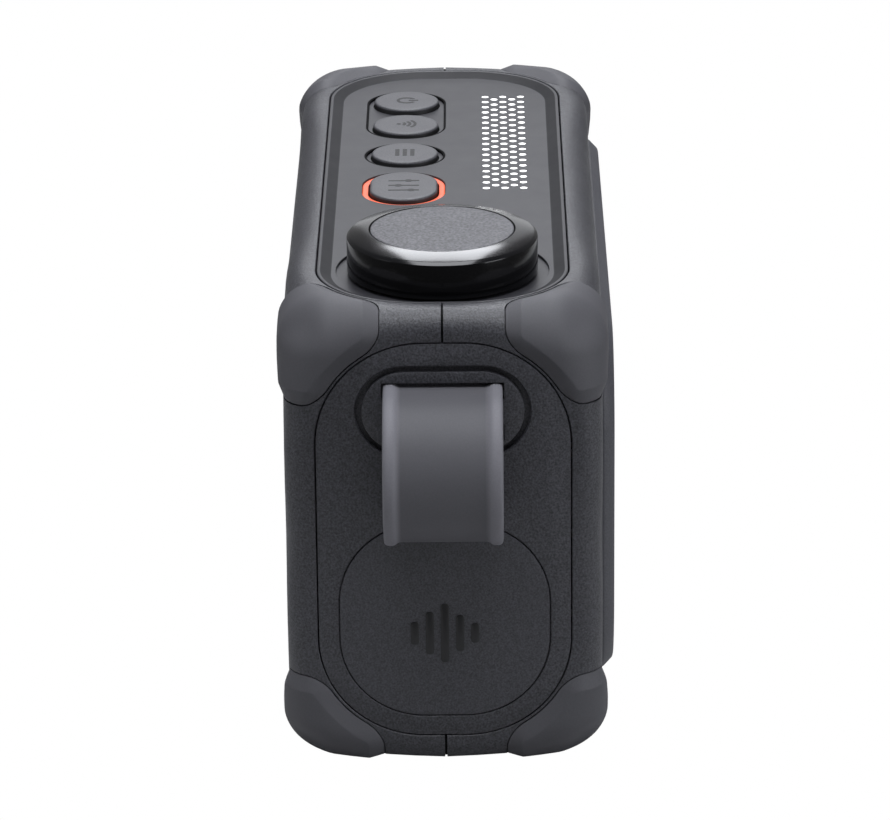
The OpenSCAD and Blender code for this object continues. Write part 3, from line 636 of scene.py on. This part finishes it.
def guard_solid(signs, steps, levels, low, height):
    points, normals, field, polys = guard_patch(signs, *steps, levels)
    used = sorted({i for poly in polys for i in poly})
    index = {v: k for k, v in enumerate(used)}

    def place(i, h):
        if signs[2] < 0 and h > 0:
            h *= 1 - UNDERSIDE_FLAT * max(0.0, normals[i][2]) ** 2
        q = [points[i][k] - normals[i][k] * h for k in range(3)]
        return (signs[0] * (HALF_L - q[0]), signs[1] * (HALF_W - q[1]),
                MID_Z + signs[2] * (HALF_H - q[2]))

    top = [place(i, height(field[i])) for i in used]
    under = [place(i, low) for i in used]
    n = len(used)
    faces = [tuple(index[i] for i in poly) for poly in polys]
    edges = {}
    for f in faces:
        for i, j in zip(f, f[1:] + f[:1]):
            edges[(i, j)] = 1
    rim = [(i, j) for i, j in edges if (j, i) not in edges]
    faces += [tuple(n + i for i in reversed(f)) for f in faces]
    faces += [(j, i, n + i, n + j) for i, j in rim]
    return top + under, faces


def corner_name(s):
    return "_".join(("top" if s[2] > 0 else "bottom", "right" if s[0] > 0 else "left",
                     "front" if s[1] < 0 else "rear"))


def build_guards():
    for s in CORNERS:
        name = corner_name(s)
        verts, faces = guard_solid(s, (12, 34), GUARD_LEVELS, GUARD_BACK, guard_height)
        make("rubber_" + name, verts, faces, ["guards"], slot="guards",
             replaces=["guard_" + name], smooth=30)


# ---------------------------------------------------------------- casing
def opening(face):
    """A panel's opening through the wall, with a small chamfer at its mouth."""
    levels = [(PANEL_GAP, -9), (PANEL_GAP, -0.25), (0.75, 0.18), (0.75, 3)]
    return cutter(*stack(face_loft(face, levels)))


def build_casing():
    for sy, name in ((-1, "front"), (1, "rear")):
        half = make("casing_" + name, *rounded_block(), ["case"], slot="case",
                    replaces=[name + "_shell"])
        inner = cutter(*rounded_block(-WALL))
        gone = cutter(*box_mesh(-200, 200, *sorted((-sy * 200, sy * SEAM_HALF)), -50, 250))
        cutters = [inner, gone] + [opening(f) for f in ("top", "right", "left")]
        if sy < 0:
            cutters.append(opening("front"))
        else:
            lo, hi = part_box("port_panel")
            wide, high = ((b - a) * 1000 + 0.3 for a, b in ((lo.x, hi.x), (lo.z, hi.z)))
            tray = lambda g: rr(wide, high, 5.0, 8)
            cutters.append(cutter(*stack(face_loft("rear", [(0, -9), (0, 3)], tray, (-PORT_X, 0)))))
        for s in CORNERS:
            if s[1] == sy:
                seat = guard_solid(s, (8, 17), (-0.3,), -1.0, lambda d: 2.5)
                cutters.append(cutter(*seat))
        cut(half, cutters)
    # A dark strip that closes the parting line from behind
    rings = []
    for inset, y in ((0.6, -1.6), (0.6, 1.6), (2.3, 1.6), (2.3, -1.6)):
        loop = rr(2 * (HALF_L - inset), 2 * (HALF_H - inset), 6.0 - inset, 10)
        rings.append([(x, y, MID_Z + z) for x, z in loop])
    strip = make("parting_strip", *tube(rings), ["seam"], slot="black_plastic")
    a, b = HALF_L - INSET + 0.3, HALF_H - INSET + 0.3
    cutters = [cutter(*box_mesh(-a, a, -3, 3, TOP_Z - 6, TOP_Z + 6))]
    for x in (HALF_L, -HALF_L):
        cutters.append(cutter(*box_mesh(x - 6, x + 6, -3, 3, MID_Z - b, MID_Z + b)))
    cut(strip, cutters)


# ---------------------------------------------------------------- end plates, plug, badge
def height_of(node):
    lo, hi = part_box(node)
    return (lo.z + hi.z) * 500 - MID_Z


PLUG_Z = height_of("strap_plug")
PLUG_HALF, PLUG_R, PLUG_GAP = 11.1, 13.5, 1.7
BADGE_Z = height_of("badge_right")
BADGE_W, BADGE_H, BADGE_R, BADGE_GAP = 59.6, 58.8, 24.0, 0.34
BAR_HEIGHTS = (7, 13, 18, 11, 6)
BAR_W, BAR_PITCH, BARS_DROP = 2.3, 4.3, 4


def badge_outline(g):
    return rr(BADGE_W + 2 * g, BADGE_H + 2 * g, BADGE_R + g, 20)


def build_end(face):
    levels = [(0, -WALL), (0, -0.3), (-0.12, -0.08), (-0.3, 0.0)]
    plate = make("end_plate_" + face, *stack(face_loft(face, levels)), ["case"], slot="case",
                 replaces=["end_cap_" + face])
    levels = [(BADGE_GAP, -1.2), (BADGE_GAP, -0.2), (0.7, 0.15), (0.7, 2)]
    cutters = [cutter(*stack(face_loft(face, levels, badge_outline, (0, BADGE_Z))))]
    if face == "right":
        levels = [(0, -1.9), (0, -0.35), (0.5, 0.15), (0.5, 2)]
        oval = lambda g: stadium(PLUG_HALF, PLUG_R + g)
        cutters.append(cutter(*stack(face_loft(face, levels, oval, (0, PLUG_Z)))))
    cut(plate, cutters)
    levels = [(0, -1.1), (0, -0.12), (-0.1, 0.05), (-0.35, 0.12), (-1.2, 0.14)]
    make("badge_plate_" + face, *stack(face_loft(face, levels, badge_outline, (0, BADGE_Z))),
         ["badge"], slot="badge", replaces=["badge_" + face])
    for i, h in enumerate(BAR_HEIGHTS):
        bar = lambda g, h=h: rr(BAR_W + 2 * g, h + 2 * g, 0.9 + g, 5)
        where = ((i - 2) * BAR_PITCH, BADGE_Z - BARS_DROP)
        levels = [(0, -0.05), (0, 0.3), (-0.2, 0.42)]
        make("badge_bar_%s_%d" % (face, i), *stack(face_loft(face, levels, bar, where)),
             ["black_plastic"], slot="badge")


def build_plug():
    oval = lambda g: stadium(PLUG_HALF, PLUG_R - PLUG_GAP + g)
    levels = [(0, -6), (0, -0.3), (-0.1, -0.08), (-0.3, 0.0)]
    plug = make("plug_face", *stack(face_loft("right", levels, oval, (0, PLUG_Z))), ["case"],
                slot="case", replaces=["strap_plug"])
    half = STRAP_W / 2 + 0.45
    slots = []
    for z, up, down in ((SLOT_HIGH, 3.2, 1.95), (SLOT_LOW, 1.95, 2.95)):
        slots.append(cutter(*box_mesh(HALF_L - 5, HALF_L + 5, -half, half, z - down, z + up)))
    cut(plug, slots)


# ---------------------------------------------------------------- carry strap
ARC_X, ARC_Z = HALF_L + 3, LOW_Z + 92.9
ARC_MID = 18.5 + STRAP_T / 2
BEND_R = 6.0
ARC_END = math.atan2(4, 3)
SLOT_HIGH = ARC_Z + ARC_MID
SLOT_LOW = LOW_Z + 102


def strap_path():
    """Points on the strap's middle line with the direction of its outer side."""
    pts = [((HALF_L - 5, SLOT_HIGH), (0, 1)), ((HALF_L - 0.6, SLOT_HIGH), (0, 1))]
    for i in range(41):
        a = math.pi / 2 - (math.pi / 2 + ARC_END) * i / 40
        pts.append(((ARC_X + ARC_MID * math.cos(a), ARC_Z + ARC_MID * math.sin(a)),
                    (math.cos(a), math.sin(a))))
    bx = ARC_X + (ARC_MID - BEND_R) * math.cos(ARC_END)
    bz = ARC_Z - (ARC_MID - BEND_R) * math.sin(ARC_END)
    for i in range(1, 25):
        a = -ARC_END - (math.pi - ARC_END) * i / 24
        pts.append(((bx + BEND_R * math.cos(a), bz + BEND_R * math.sin(a)),
                    (math.cos(a), math.sin(a))))
    leg = bx - BEND_R
    turn = SLOT_LOW - BEND_R
    for i in range(0, 13):
        a = math.pi / 2 * i / 12
        pts.append(((leg - BEND_R + BEND_R * math.cos(a), turn + BEND_R * math.sin(a)),
                    (-math.cos(a), -math.sin(a))))
    pts.append(((HALF_L - 5, SLOT_LOW), (0, -1)))
    return pts


def strap_section():
    """(height from the middle line, position across) round the strap, with rounded ribs."""
    half, t = STRAP_W / 2, STRAP_T / 2
    fine = [(t + STRAP_RIB * rise, inside) for inside, rise in (
        (0.12, 0.1), (0.35, 0.55), (0.8, 0.86), (1.5, 1.0), (2.4, 1.0), (3.0, 0.86), (3.5, 0.56),
        (4.0, 0.22), (4.6, 0.04), (5.4, 0.0), (8.0, 0.0))]
    top = [(h, -half + e) for h, e in fine] + [(t, 0.0)]
    top += [(h, half - e) for h, e in reversed(fine)]
    low = [(-t, half - 0.8), (-t, half - 4), (-t, 0), (-t, -half + 4), (-t, -half + 0.8)]
    right = [(t * 0.55, half), (-t + 0.7, half), (-t + 0.2, half - 0.25)]
    left = [(-t + 0.2, -half + 0.25), (-t + 0.7, -half), (t * 0.55, -half)]
    return top + right + low + left


def build_strap():
    rings = []
    section = strap_section()
    for (x, z), (nx, nz) in strap_path():
        rings.append([(x + nx * h, y, z + nz * h) for h, y in section])
    make("carry_loop", *stack(rings), ["strap"], slot="strap", replaces=["carry_strap"], smooth=50)


# ---------------------------------------------------------------- control panel
def build_panel():
    levels = [(0, -2.5), (0, -0.3), (-0.1, -0.08), (-0.3, 0.0), (-0.75, 0.0), (-1.0, -0.06),
              (-BORDER + 0.35, -DISH + 0.07), (-BORDER, -DISH), (-BORDER - 0.5, -DISH)]
    verts, faces = stack(face_loft("top", levels))
    n = len(face_outline("top"))
    # The sloping border's faces take the darker copy of the panel plastic, as painted shade.
    shade = [1 if 5 <= i // n <= 6 and i < n * 8 else 0 for i in range(len(faces))]
    panel = make("control_panel", verts, faces, ["panel", "slope"], slot="panel",
                 replaces=["top_panel"], shade=shade)
    lip = 0.12
    up = FLOOR - TOP_Z

    def well(x, y, half, r, depth):
        shape = lambda g: stadium(half, r + g, 40)
        levels = [(0, up - depth), (0, up - lip), (lip, up + 0.02), (lip, up + 4)]
        return cutter(*stack(face_loft("top", levels, shape, (x, y))))

    pair = (KEY_X["power"] + KEY_X["wireless"]) / 2
    half = (KEY_X["wireless"] - KEY_X["power"]) / 2
    cutters = [well(pair, KEY_Y, half, WELL_R, WELL_DEPTH),
               well(KEY_X["menu"], KEY_Y, 0.0, WELL_R, WELL_DEPTH),
               well(KEY_X["effects"], KEY_Y, EFFECTS_HALF, WELL_R + 0.1, 8)]
    cut(panel, cutters)
    cutters = [well(KEY_X[k], KEY_Y, 0.0, KEY_R + 0.35, 8) for k in ("power", "wireless", "menu")]
    shape = lambda g: circle(COLLAR_R + g, 128)
    levels = [(0, up - WELL_DEPTH), (0, up - lip), (lip, up + 0.02), (lip, up + 4)]
    cutters.append(cutter(*stack(face_loft("top", levels, shape, (KNOB_X, 0)))))
    shape = lambda g: circle(4.7 + g, 48)
    cutters.append(cutter(*stack(face_loft("top", [(0, -6), (0, 2)], shape, (KNOB_X, 0)))))
    cut(panel, cutters)
    # Dark liners round the two wells: painted shade on the wells' walls
    for name, x, run in (("pair", pair, half), ("menu", KEY_X["menu"], 0.0)):
        shape = lambda g, run=run: stadium(run, WELL_R + g, 40)
        low = up - WELL_DEPTH - 0.02
        levels = [(-0.6, low), (-0.6, up - 0.14), (-0.45, up - 0.01), (-0.03, up - 0.01),
                  (-0.03, low)]
        make("well_liner_" + name, *tube(face_loft("top", levels, shape, (x, KEY_Y))),
             ["seam"], slot="black_plastic")


def key_levels(top, low):
    return [(0, low), (0, top - 0.62), (-0.06, top - 0.36), (-0.22, top - 0.15), (-0.5, top - 0.03),
            (-0.95, top + 0.02), (-2.2, top + 0.05), (-4.5, top + 0.07)]


def build_key(name, half, low):
    body = name + "_key"
    top = FLOOR + 1.0 - TOP_Z - 0.05
    shape = lambda g: stadium(half, KEY_R + g, 40)
    at = (KEY_X[name], KEY_Y)
    rings = face_loft("top", key_levels(top, low), shape, at)
    n = len(rings[0])
    # The key's lower side and its underside take black plastic: painted shade down in the well.
    shade = [1] * n + [0] * n * (len(rings) - 2) + [1, 0]
    make("key_" + name, *stack(rings), ["key", "black_plastic"], body=body, slot="panel",
         replaces=[name + "_button"], shade=shade)
    return TOP_Z + top + 0.07


def flat_piece(name, outlines, z, body, at, thick=0.05):
    """Printed marks: thin prisms over closed outlines."""
    verts, faces = [], []
    for pts in outlines:
        rings = [[(at[0] + u, at[1] + v, z - thick) for u, v in pts],
                 [(at[0] + u, at[1] + v, z + thick) for u, v in pts]]
        v, f = stack(rings)
        base = len(verts)
        verts += v
        faces += [tuple(base + i for i in face) for face in f]
    make(name, verts, faces, ["ink"], body=body, slot="panel")


def arc_band(r, w, a0, a1, n=20):
    outer, inner = [], []
    for i in range(n + 1):
        a = math.radians(a0 + (a1 - a0) * i / n)
        outer.append(((r + w / 2) * math.cos(a), (r + w / 2) * math.sin(a)))
        inner.append(((r - w / 2) * math.cos(a), (r - w / 2) * math.sin(a)))
    return outer + inner[::-1]


def bar(u0, u1, v0, v1):
    return [(u0, v0), (u1, v0), (u1, v1), (u0, v1)]


def moved(pts, u, v):
    return [(a + u, b + v) for a, b in pts]


def build_keys():
    z = build_key("power", 0.0, KEY_LOW)
    at = (KEY_X["power"], KEY_Y)
    flat_piece("print_power", [arc_band(2.7, 0.95, 125, 415), bar(-0.48, 0.48, 0.6, 3.7)], z,
               "power_key", at)
    z = build_key("wireless", 0.0, KEY_LOW)
    at = (KEY_X["wireless"], KEY_Y)
    waves = [arc_band(r, 0.9, 48, 132) for r in (1.9, 3.5, 5.1)] + [circle(0.7, 20)]
    flat_piece("print_wireless", [moved(w, 0, -2.2) for w in waves], z, "wireless_key", at)
    z = build_key("menu", 0.0, KEY_LOW)
    at = (KEY_X["menu"], KEY_Y)
    rows = []
    for v in (-2.3, 0.0, 2.3):
        rows += [bar(-3.2, -1.9, v - 0.65, v + 0.65), bar(-1.3, 3.2, v - 0.65, v + 0.65)]
    flat_piece("print_menu", rows, z, "menu_key", at)
    z = build_key("effects", EFFECTS_HALF, EFFECTS_LOW)
    at = (KEY_X["effects"], KEY_Y)
    sliders = []
    for u, v in ((-4.6, 1.4), (0.0, -1.6), (4.6, 2.2)):
        sliders += [bar(u - 0.42, u + 0.42, -4.6, v - 0.9), bar(u - 0.42, u + 0.42, v + 0.9, 4.6),
                    moved(circle(1.15, 24), u, v)]
    flat_piece("print_effects", sliders, z, "effects_key", at)
    # Translucent ring round the wide key, with a dark inner wall
    up = FLOOR - TOP_Z - 0.42
    shape = lambda g: stadium(EFFECTS_HALF, WELL_R + g, 40)
    at = (KEY_X["effects"], KEY_Y)
    inner = KEY_R + 0.4 - WELL_R
    levels = [(inner, up - 3), (inner, up - 0.5), (inner + 0.12, up - 0.12), (inner + 0.45, up),
              (-0.25, up), (0.0, up - 0.2), (0.0, up - 3)]
    rings = face_loft("top", levels, shape, at)
    verts, faces = tube(rings)
    n = len(rings[0])
    shade = [1] * n * 2 + [0] * n * 5
    make("ring_glow", verts, faces, ["light_ring", "ring_dark"], slot="light_ring",
         replaces=["effects_light_ring"], shade=shade)


def build_leds():
    """Every other lamp is lit, in a plain lattice."""
    cx, cy = centre_of("led_matrix")
    verts, faces = [], []
    for col in range(LAMP_COLUMNS):
        for row in range(LAMP_ROWS):
            if (row + col) % 2:
                continue
            x = cx + (col - LAMP_COLUMNS // 2) * LAMP_PITCH[0]
            y = cy + (row - LAMP_ROWS // 2) * LAMP_PITCH[1]
            rings = []
            for r, z in ((1.0, -0.05), (1.0, 0.03), (0.75, 0.10)):
                rings.append([(x + 0.85 * r * math.cos(math.pi * i / 9),
                               y + 1.08 * r * math.sin(math.pi * i / 9), FLOOR + z)
                              for i in range(18)])
            v, f = stack(rings)
            base = len(verts)
            verts += v
            faces += [tuple(base + i for i in face) for face in f]
    make("lamp_dots", verts, faces, ["led"], slot="diffuser", smooth=60)


# ---------------------------------------------------------------- knob
def lathe(profile, x, n=160):
    """Closed ring about a vertical axis through (x, 0)."""
    return [[(x + u, v, z) for u, v in circle(r, n)] for r, z in profile]


def build_knob():
    top = KNOB_TOP
    profile = [(24.3, FLOOR + 0.05), (26.9, FLOOR + 0.05), (27.2, FLOOR + 0.2),
               (KNOB_R, FLOOR + 0.5), (KNOB_R, top - 2.35), (27.24, top - 2.15),
               (26.5, top - 1.4), (26.3, top - 1.28),
               (21.15, top - 0.06), (21.0, top - 0.03), (20.9, top - 0.12), (20.9, top - 3.6),
               (24.3, top - 3.6)]
    rings = lathe(profile, KNOB_X)
    verts, faces = tube(rings)
    n = len(rings[0])
    shade = []
    for k in range(len(profile)):
        shade += [1 if 5 <= k <= 9 else 0] * n
    make("knob_rim", verts, faces, ["knob_gloss", "knob_cone"], body="knob", slot="knob_gloss",
         replaces=["knob_ring"], shade=shade, smooth=24)
    profile = [(DISC_R, top - 2), (DISC_R, top - 0.32), (DISC_R - 0.12, top - 0.12),
               (DISC_R - 0.4, top - 0.02), (DISC_R - 1.2, top), (6, top)]
    make("knob_face", *stack(lathe(profile, KNOB_X)), ["knob_disc"], body="knob",
         slot="knob_disc", replaces=["knob_cap"])


# ---------------------------------------------------------------- front grille
def build_grille():
    pitch, hole, steps = 3.0, 1.0, 12
    sheet_d, thick = -1.0, 0.6
    a, b = HALF_L - INSET, HALF_H - INSET
    inner = 3.2

    def inside(u, v, margin):
        qx = max(abs(u) - (a - PANEL_R), 0)
        qy = max(abs(v) - (b - PANEL_R), 0)
        if abs(u) > a - margin or abs(v) > b - margin:
            return False
        return not (qx > 0 and qy > 0) or math.hypot(qx, qy) < PANEL_R - margin

    verts, faces = [], []
    rise = pitch * math.sqrt(3) / 2
    radius = pitch / math.sqrt(3)
    for j in range(-24, 25):
        for i in range(-40, 41):
            u = pitch * (i + (0.5 if j % 2 else 0.0))
            v = rise * j
            if not inside(u, v, inner - 1.2):
                continue
            base = len(verts)
            solid = not inside(u, v, inner + 0.4)
            for k in range(steps):
                t = math.radians(30 + 360 * k / steps)
                reach = radius if k % 2 == 0 else pitch / 2
                verts.append(on_face("front", u + reach * math.cos(t), v + reach * math.sin(t),
                                     sheet_d))
            if solid:
                faces.append(tuple(range(base, base + steps)))
                continue
            for r, d in ((hole, sheet_d), (hole * 0.97, sheet_d - thick)):
                for k in range(steps):
                    t = math.radians(30 + 360 * k / steps)
                    verts.append(on_face("front", u + r * math.cos(t), v + r * math.sin(t), d))
            for ring in (0, 1):
                for k in range(steps):
                    n = (k + 1) % steps
                    p = base + ring * steps
                    faces.append((p + k, p + n, p + steps + n, p + steps + k))
    make("grille_mesh", verts, faces, ["grille"], slot="grille", replaces=["front_grille"],
         closed=False, smooth=40)
    levels = [(-0.1, -2.4), (-0.1, -0.45), (-0.25, -0.2), (-0.6, -0.1), (-2.4, -0.1), (-2.9, -0.3),
              (-inner, -0.7), (-inner, -2.4)]
    make("grille_rim", *tube(face_loft("front", levels)), ["grille"], slot="grille")


# ---------------------------------------------------------------- raised cover at the back
COVER_L, COVER_H = 2 * HALF_L - 24, 2 * HALF_H - 29.2
WINDOW = (24, 64)
SCREW_X, SCREW_Z = (-70, 0, 70), (-46.5, 46.5)


def build_rear():
    shape = lambda g: rr(COVER_L + 2 * g, COVER_H + 2 * g, PANEL_R + g, 20)
    levels = [(0, 0.0), (0, 0.5), (-0.25, 0.95), (-2.4, 3.0), (-2.9, 3.4), (-3.7, 3.6), (-5.5, 3.6)]
    cover = make("rear_plate", *stack(face_loft("rear", levels, shape)), ["rear_cover"],
                 slot="rear_cover", replaces=["rear_cover"])
    window = lambda g: rr(WINDOW[0] + 2 * g, WINDOW[1] + 2 * g, 4 + g, 10)
    levels = [(0, -1), (0, 3.1), (0.7, 3.8), (0.7, 6)]
    cutters = [cutter(*stack(face_loft("rear", levels, window, (-PORT_X, 0))))]
    for x in SCREW_X:
        for z in SCREW_Z:
            hole = lambda g: circle(3.0 + g, 40)
            levels = [(0, 1.2), (0, 3.3), (0.4, 3.7), (0.4, 6)]
            cutters.append(cutter(*stack(face_loft("rear", levels, hole, (-x, z)))))
    cut(cover, cutters)


# ---------------------------------------------------------------- floor, world, lights
LAMP_COLOUR = (0.965, 0.985, 1.03)
AIM = Vector((0.06, 0, 0.12))
# name, size, azimuth, elevation, distance, radiance
SOFTBOXES = (("sweep_back", (0.66, 0.95), 178, 16, 1.5, 0.7),
             ("softbox_back", (0.62, 0.70), 180, 50, 1.5, 10),
             ("softbox_top", (1.2, 1.0), 0, 78, 1.5, 6.4),
             ("softbox_left", (0.7, 0.9), -76, 22, 1.5, 1.4),
             ("softbox_right", (0.7, 0.9), 64, 16, 1.5, 3.4),
             ("softbox_near", (0.9, 0.5), 0, 40, 1.8, 0.8))


def softbox(name, size, azimuth, elevation, distance, radiance):
    a, e = math.radians(azimuth), math.radians(elevation)
    way = Vector((math.cos(e) * math.cos(a), math.cos(e) * math.sin(a), math.sin(e)))
    data = bpy.data.lights.new(name, "AREA")
    data.shape = "RECTANGLE"
    data.size, data.size_y = size
    data.energy = radiance * math.pi * size[0] * size[1]
    data.color = LAMP_COLOUR
    data.spread = math.pi
    lamp = bpy.data.objects.new(name, data)
    bpy.context.scene.collection.objects.link(lamp)
    lamp.location = AIM + distance * way
    lamp.visible_camera = False
    lamp.rotation_mode = "QUATERNION"
    lamp.rotation_quaternion = (-way).to_track_quat("-Z", "Y")


def camera_switch(tree, seen, unseen, output):
    """Shows one shader to the camera and another to every other ray."""
    path = tree.nodes.new("ShaderNodeLightPath")
    mix = tree.nodes.new("ShaderNodeMixShader")
    tree.links.new(path.outputs["Is Camera Ray"], mix.inputs[0])
    tree.links.new(unseen, mix.inputs[1])
    tree.links.new(seen, mix.inputs[2])
    tree.links.new(mix.outputs[0], output.inputs["Surface"])


def build_studio():
    mesh = bpy.data.meshes.new("floor")
    x0, x1, y, z = -0.7, 0.42, 0.55, -0.0006
    mesh.from_pydata([(x0, -y, z), (x1, -y, z), (x1, y, z), (x0, y, z)], [], [(0, 1, 2, 3)])
    floor = bpy.data.objects.new("floor", mesh)
    bpy.context.scene.collection.objects.link(floor)
    # White to the camera; for every other ray a grey that is as bright as the lamps make it
    m, tree, shader = new_material("floor", (0.42, 0.42, 0.42), 1.0, specular=0.0)
    glow = tree.nodes.new("ShaderNodeEmission")
    camera_switch(tree, glow.outputs[0], shader.outputs[0], tree.nodes["Material Output"])
    mesh.materials.append(m)

    world = bpy.data.worlds.new("studio")
    bpy.context.scene.world = world
    world.use_nodes = True
    tree = world.node_tree
    tree.nodes.clear()
    out = tree.nodes.new("ShaderNodeOutputWorld")
    coord = tree.nodes.new("ShaderNodeTexCoord")
    split = tree.nodes.new("ShaderNodeSeparateXYZ")
    tree.links.new(coord.outputs["Generated"], split.inputs[0])
    along = tree.nodes.new("ShaderNodeMapRange")
    along.inputs["From Min"].default_value = -1
    tree.links.new(split.outputs["X"], along.inputs["Value"])
    sky = ramp(tree, along.outputs["Result"], [(0.0, (0.25,) * 3), (0.1, (0.14,) * 3),
                                               (0.5, (0.08,) * 3), (1.0, (0.05,) * 3)])
    dim = tree.nodes.new("ShaderNodeBackground")
    tree.links.new(sky, dim.inputs["Color"])
    white = tree.nodes.new("ShaderNodeBackground")
    white.inputs["Color"].default_value = (1, 1, 1, 1)
    camera_switch(tree, white.outputs[0], dim.outputs[0], out)

    for lamp in SOFTBOXES:
        softbox(*lamp)
    view = bpy.context.scene.view_settings
    view.view_transform = "Standard"
    view.look = "None"


build_casing()
build_guards()
build_end("right")
build_end("left")
build_plug()
build_strap()
build_panel()
build_keys()
build_leds()
build_knob()
build_grille()
build_rear()
build_studio()
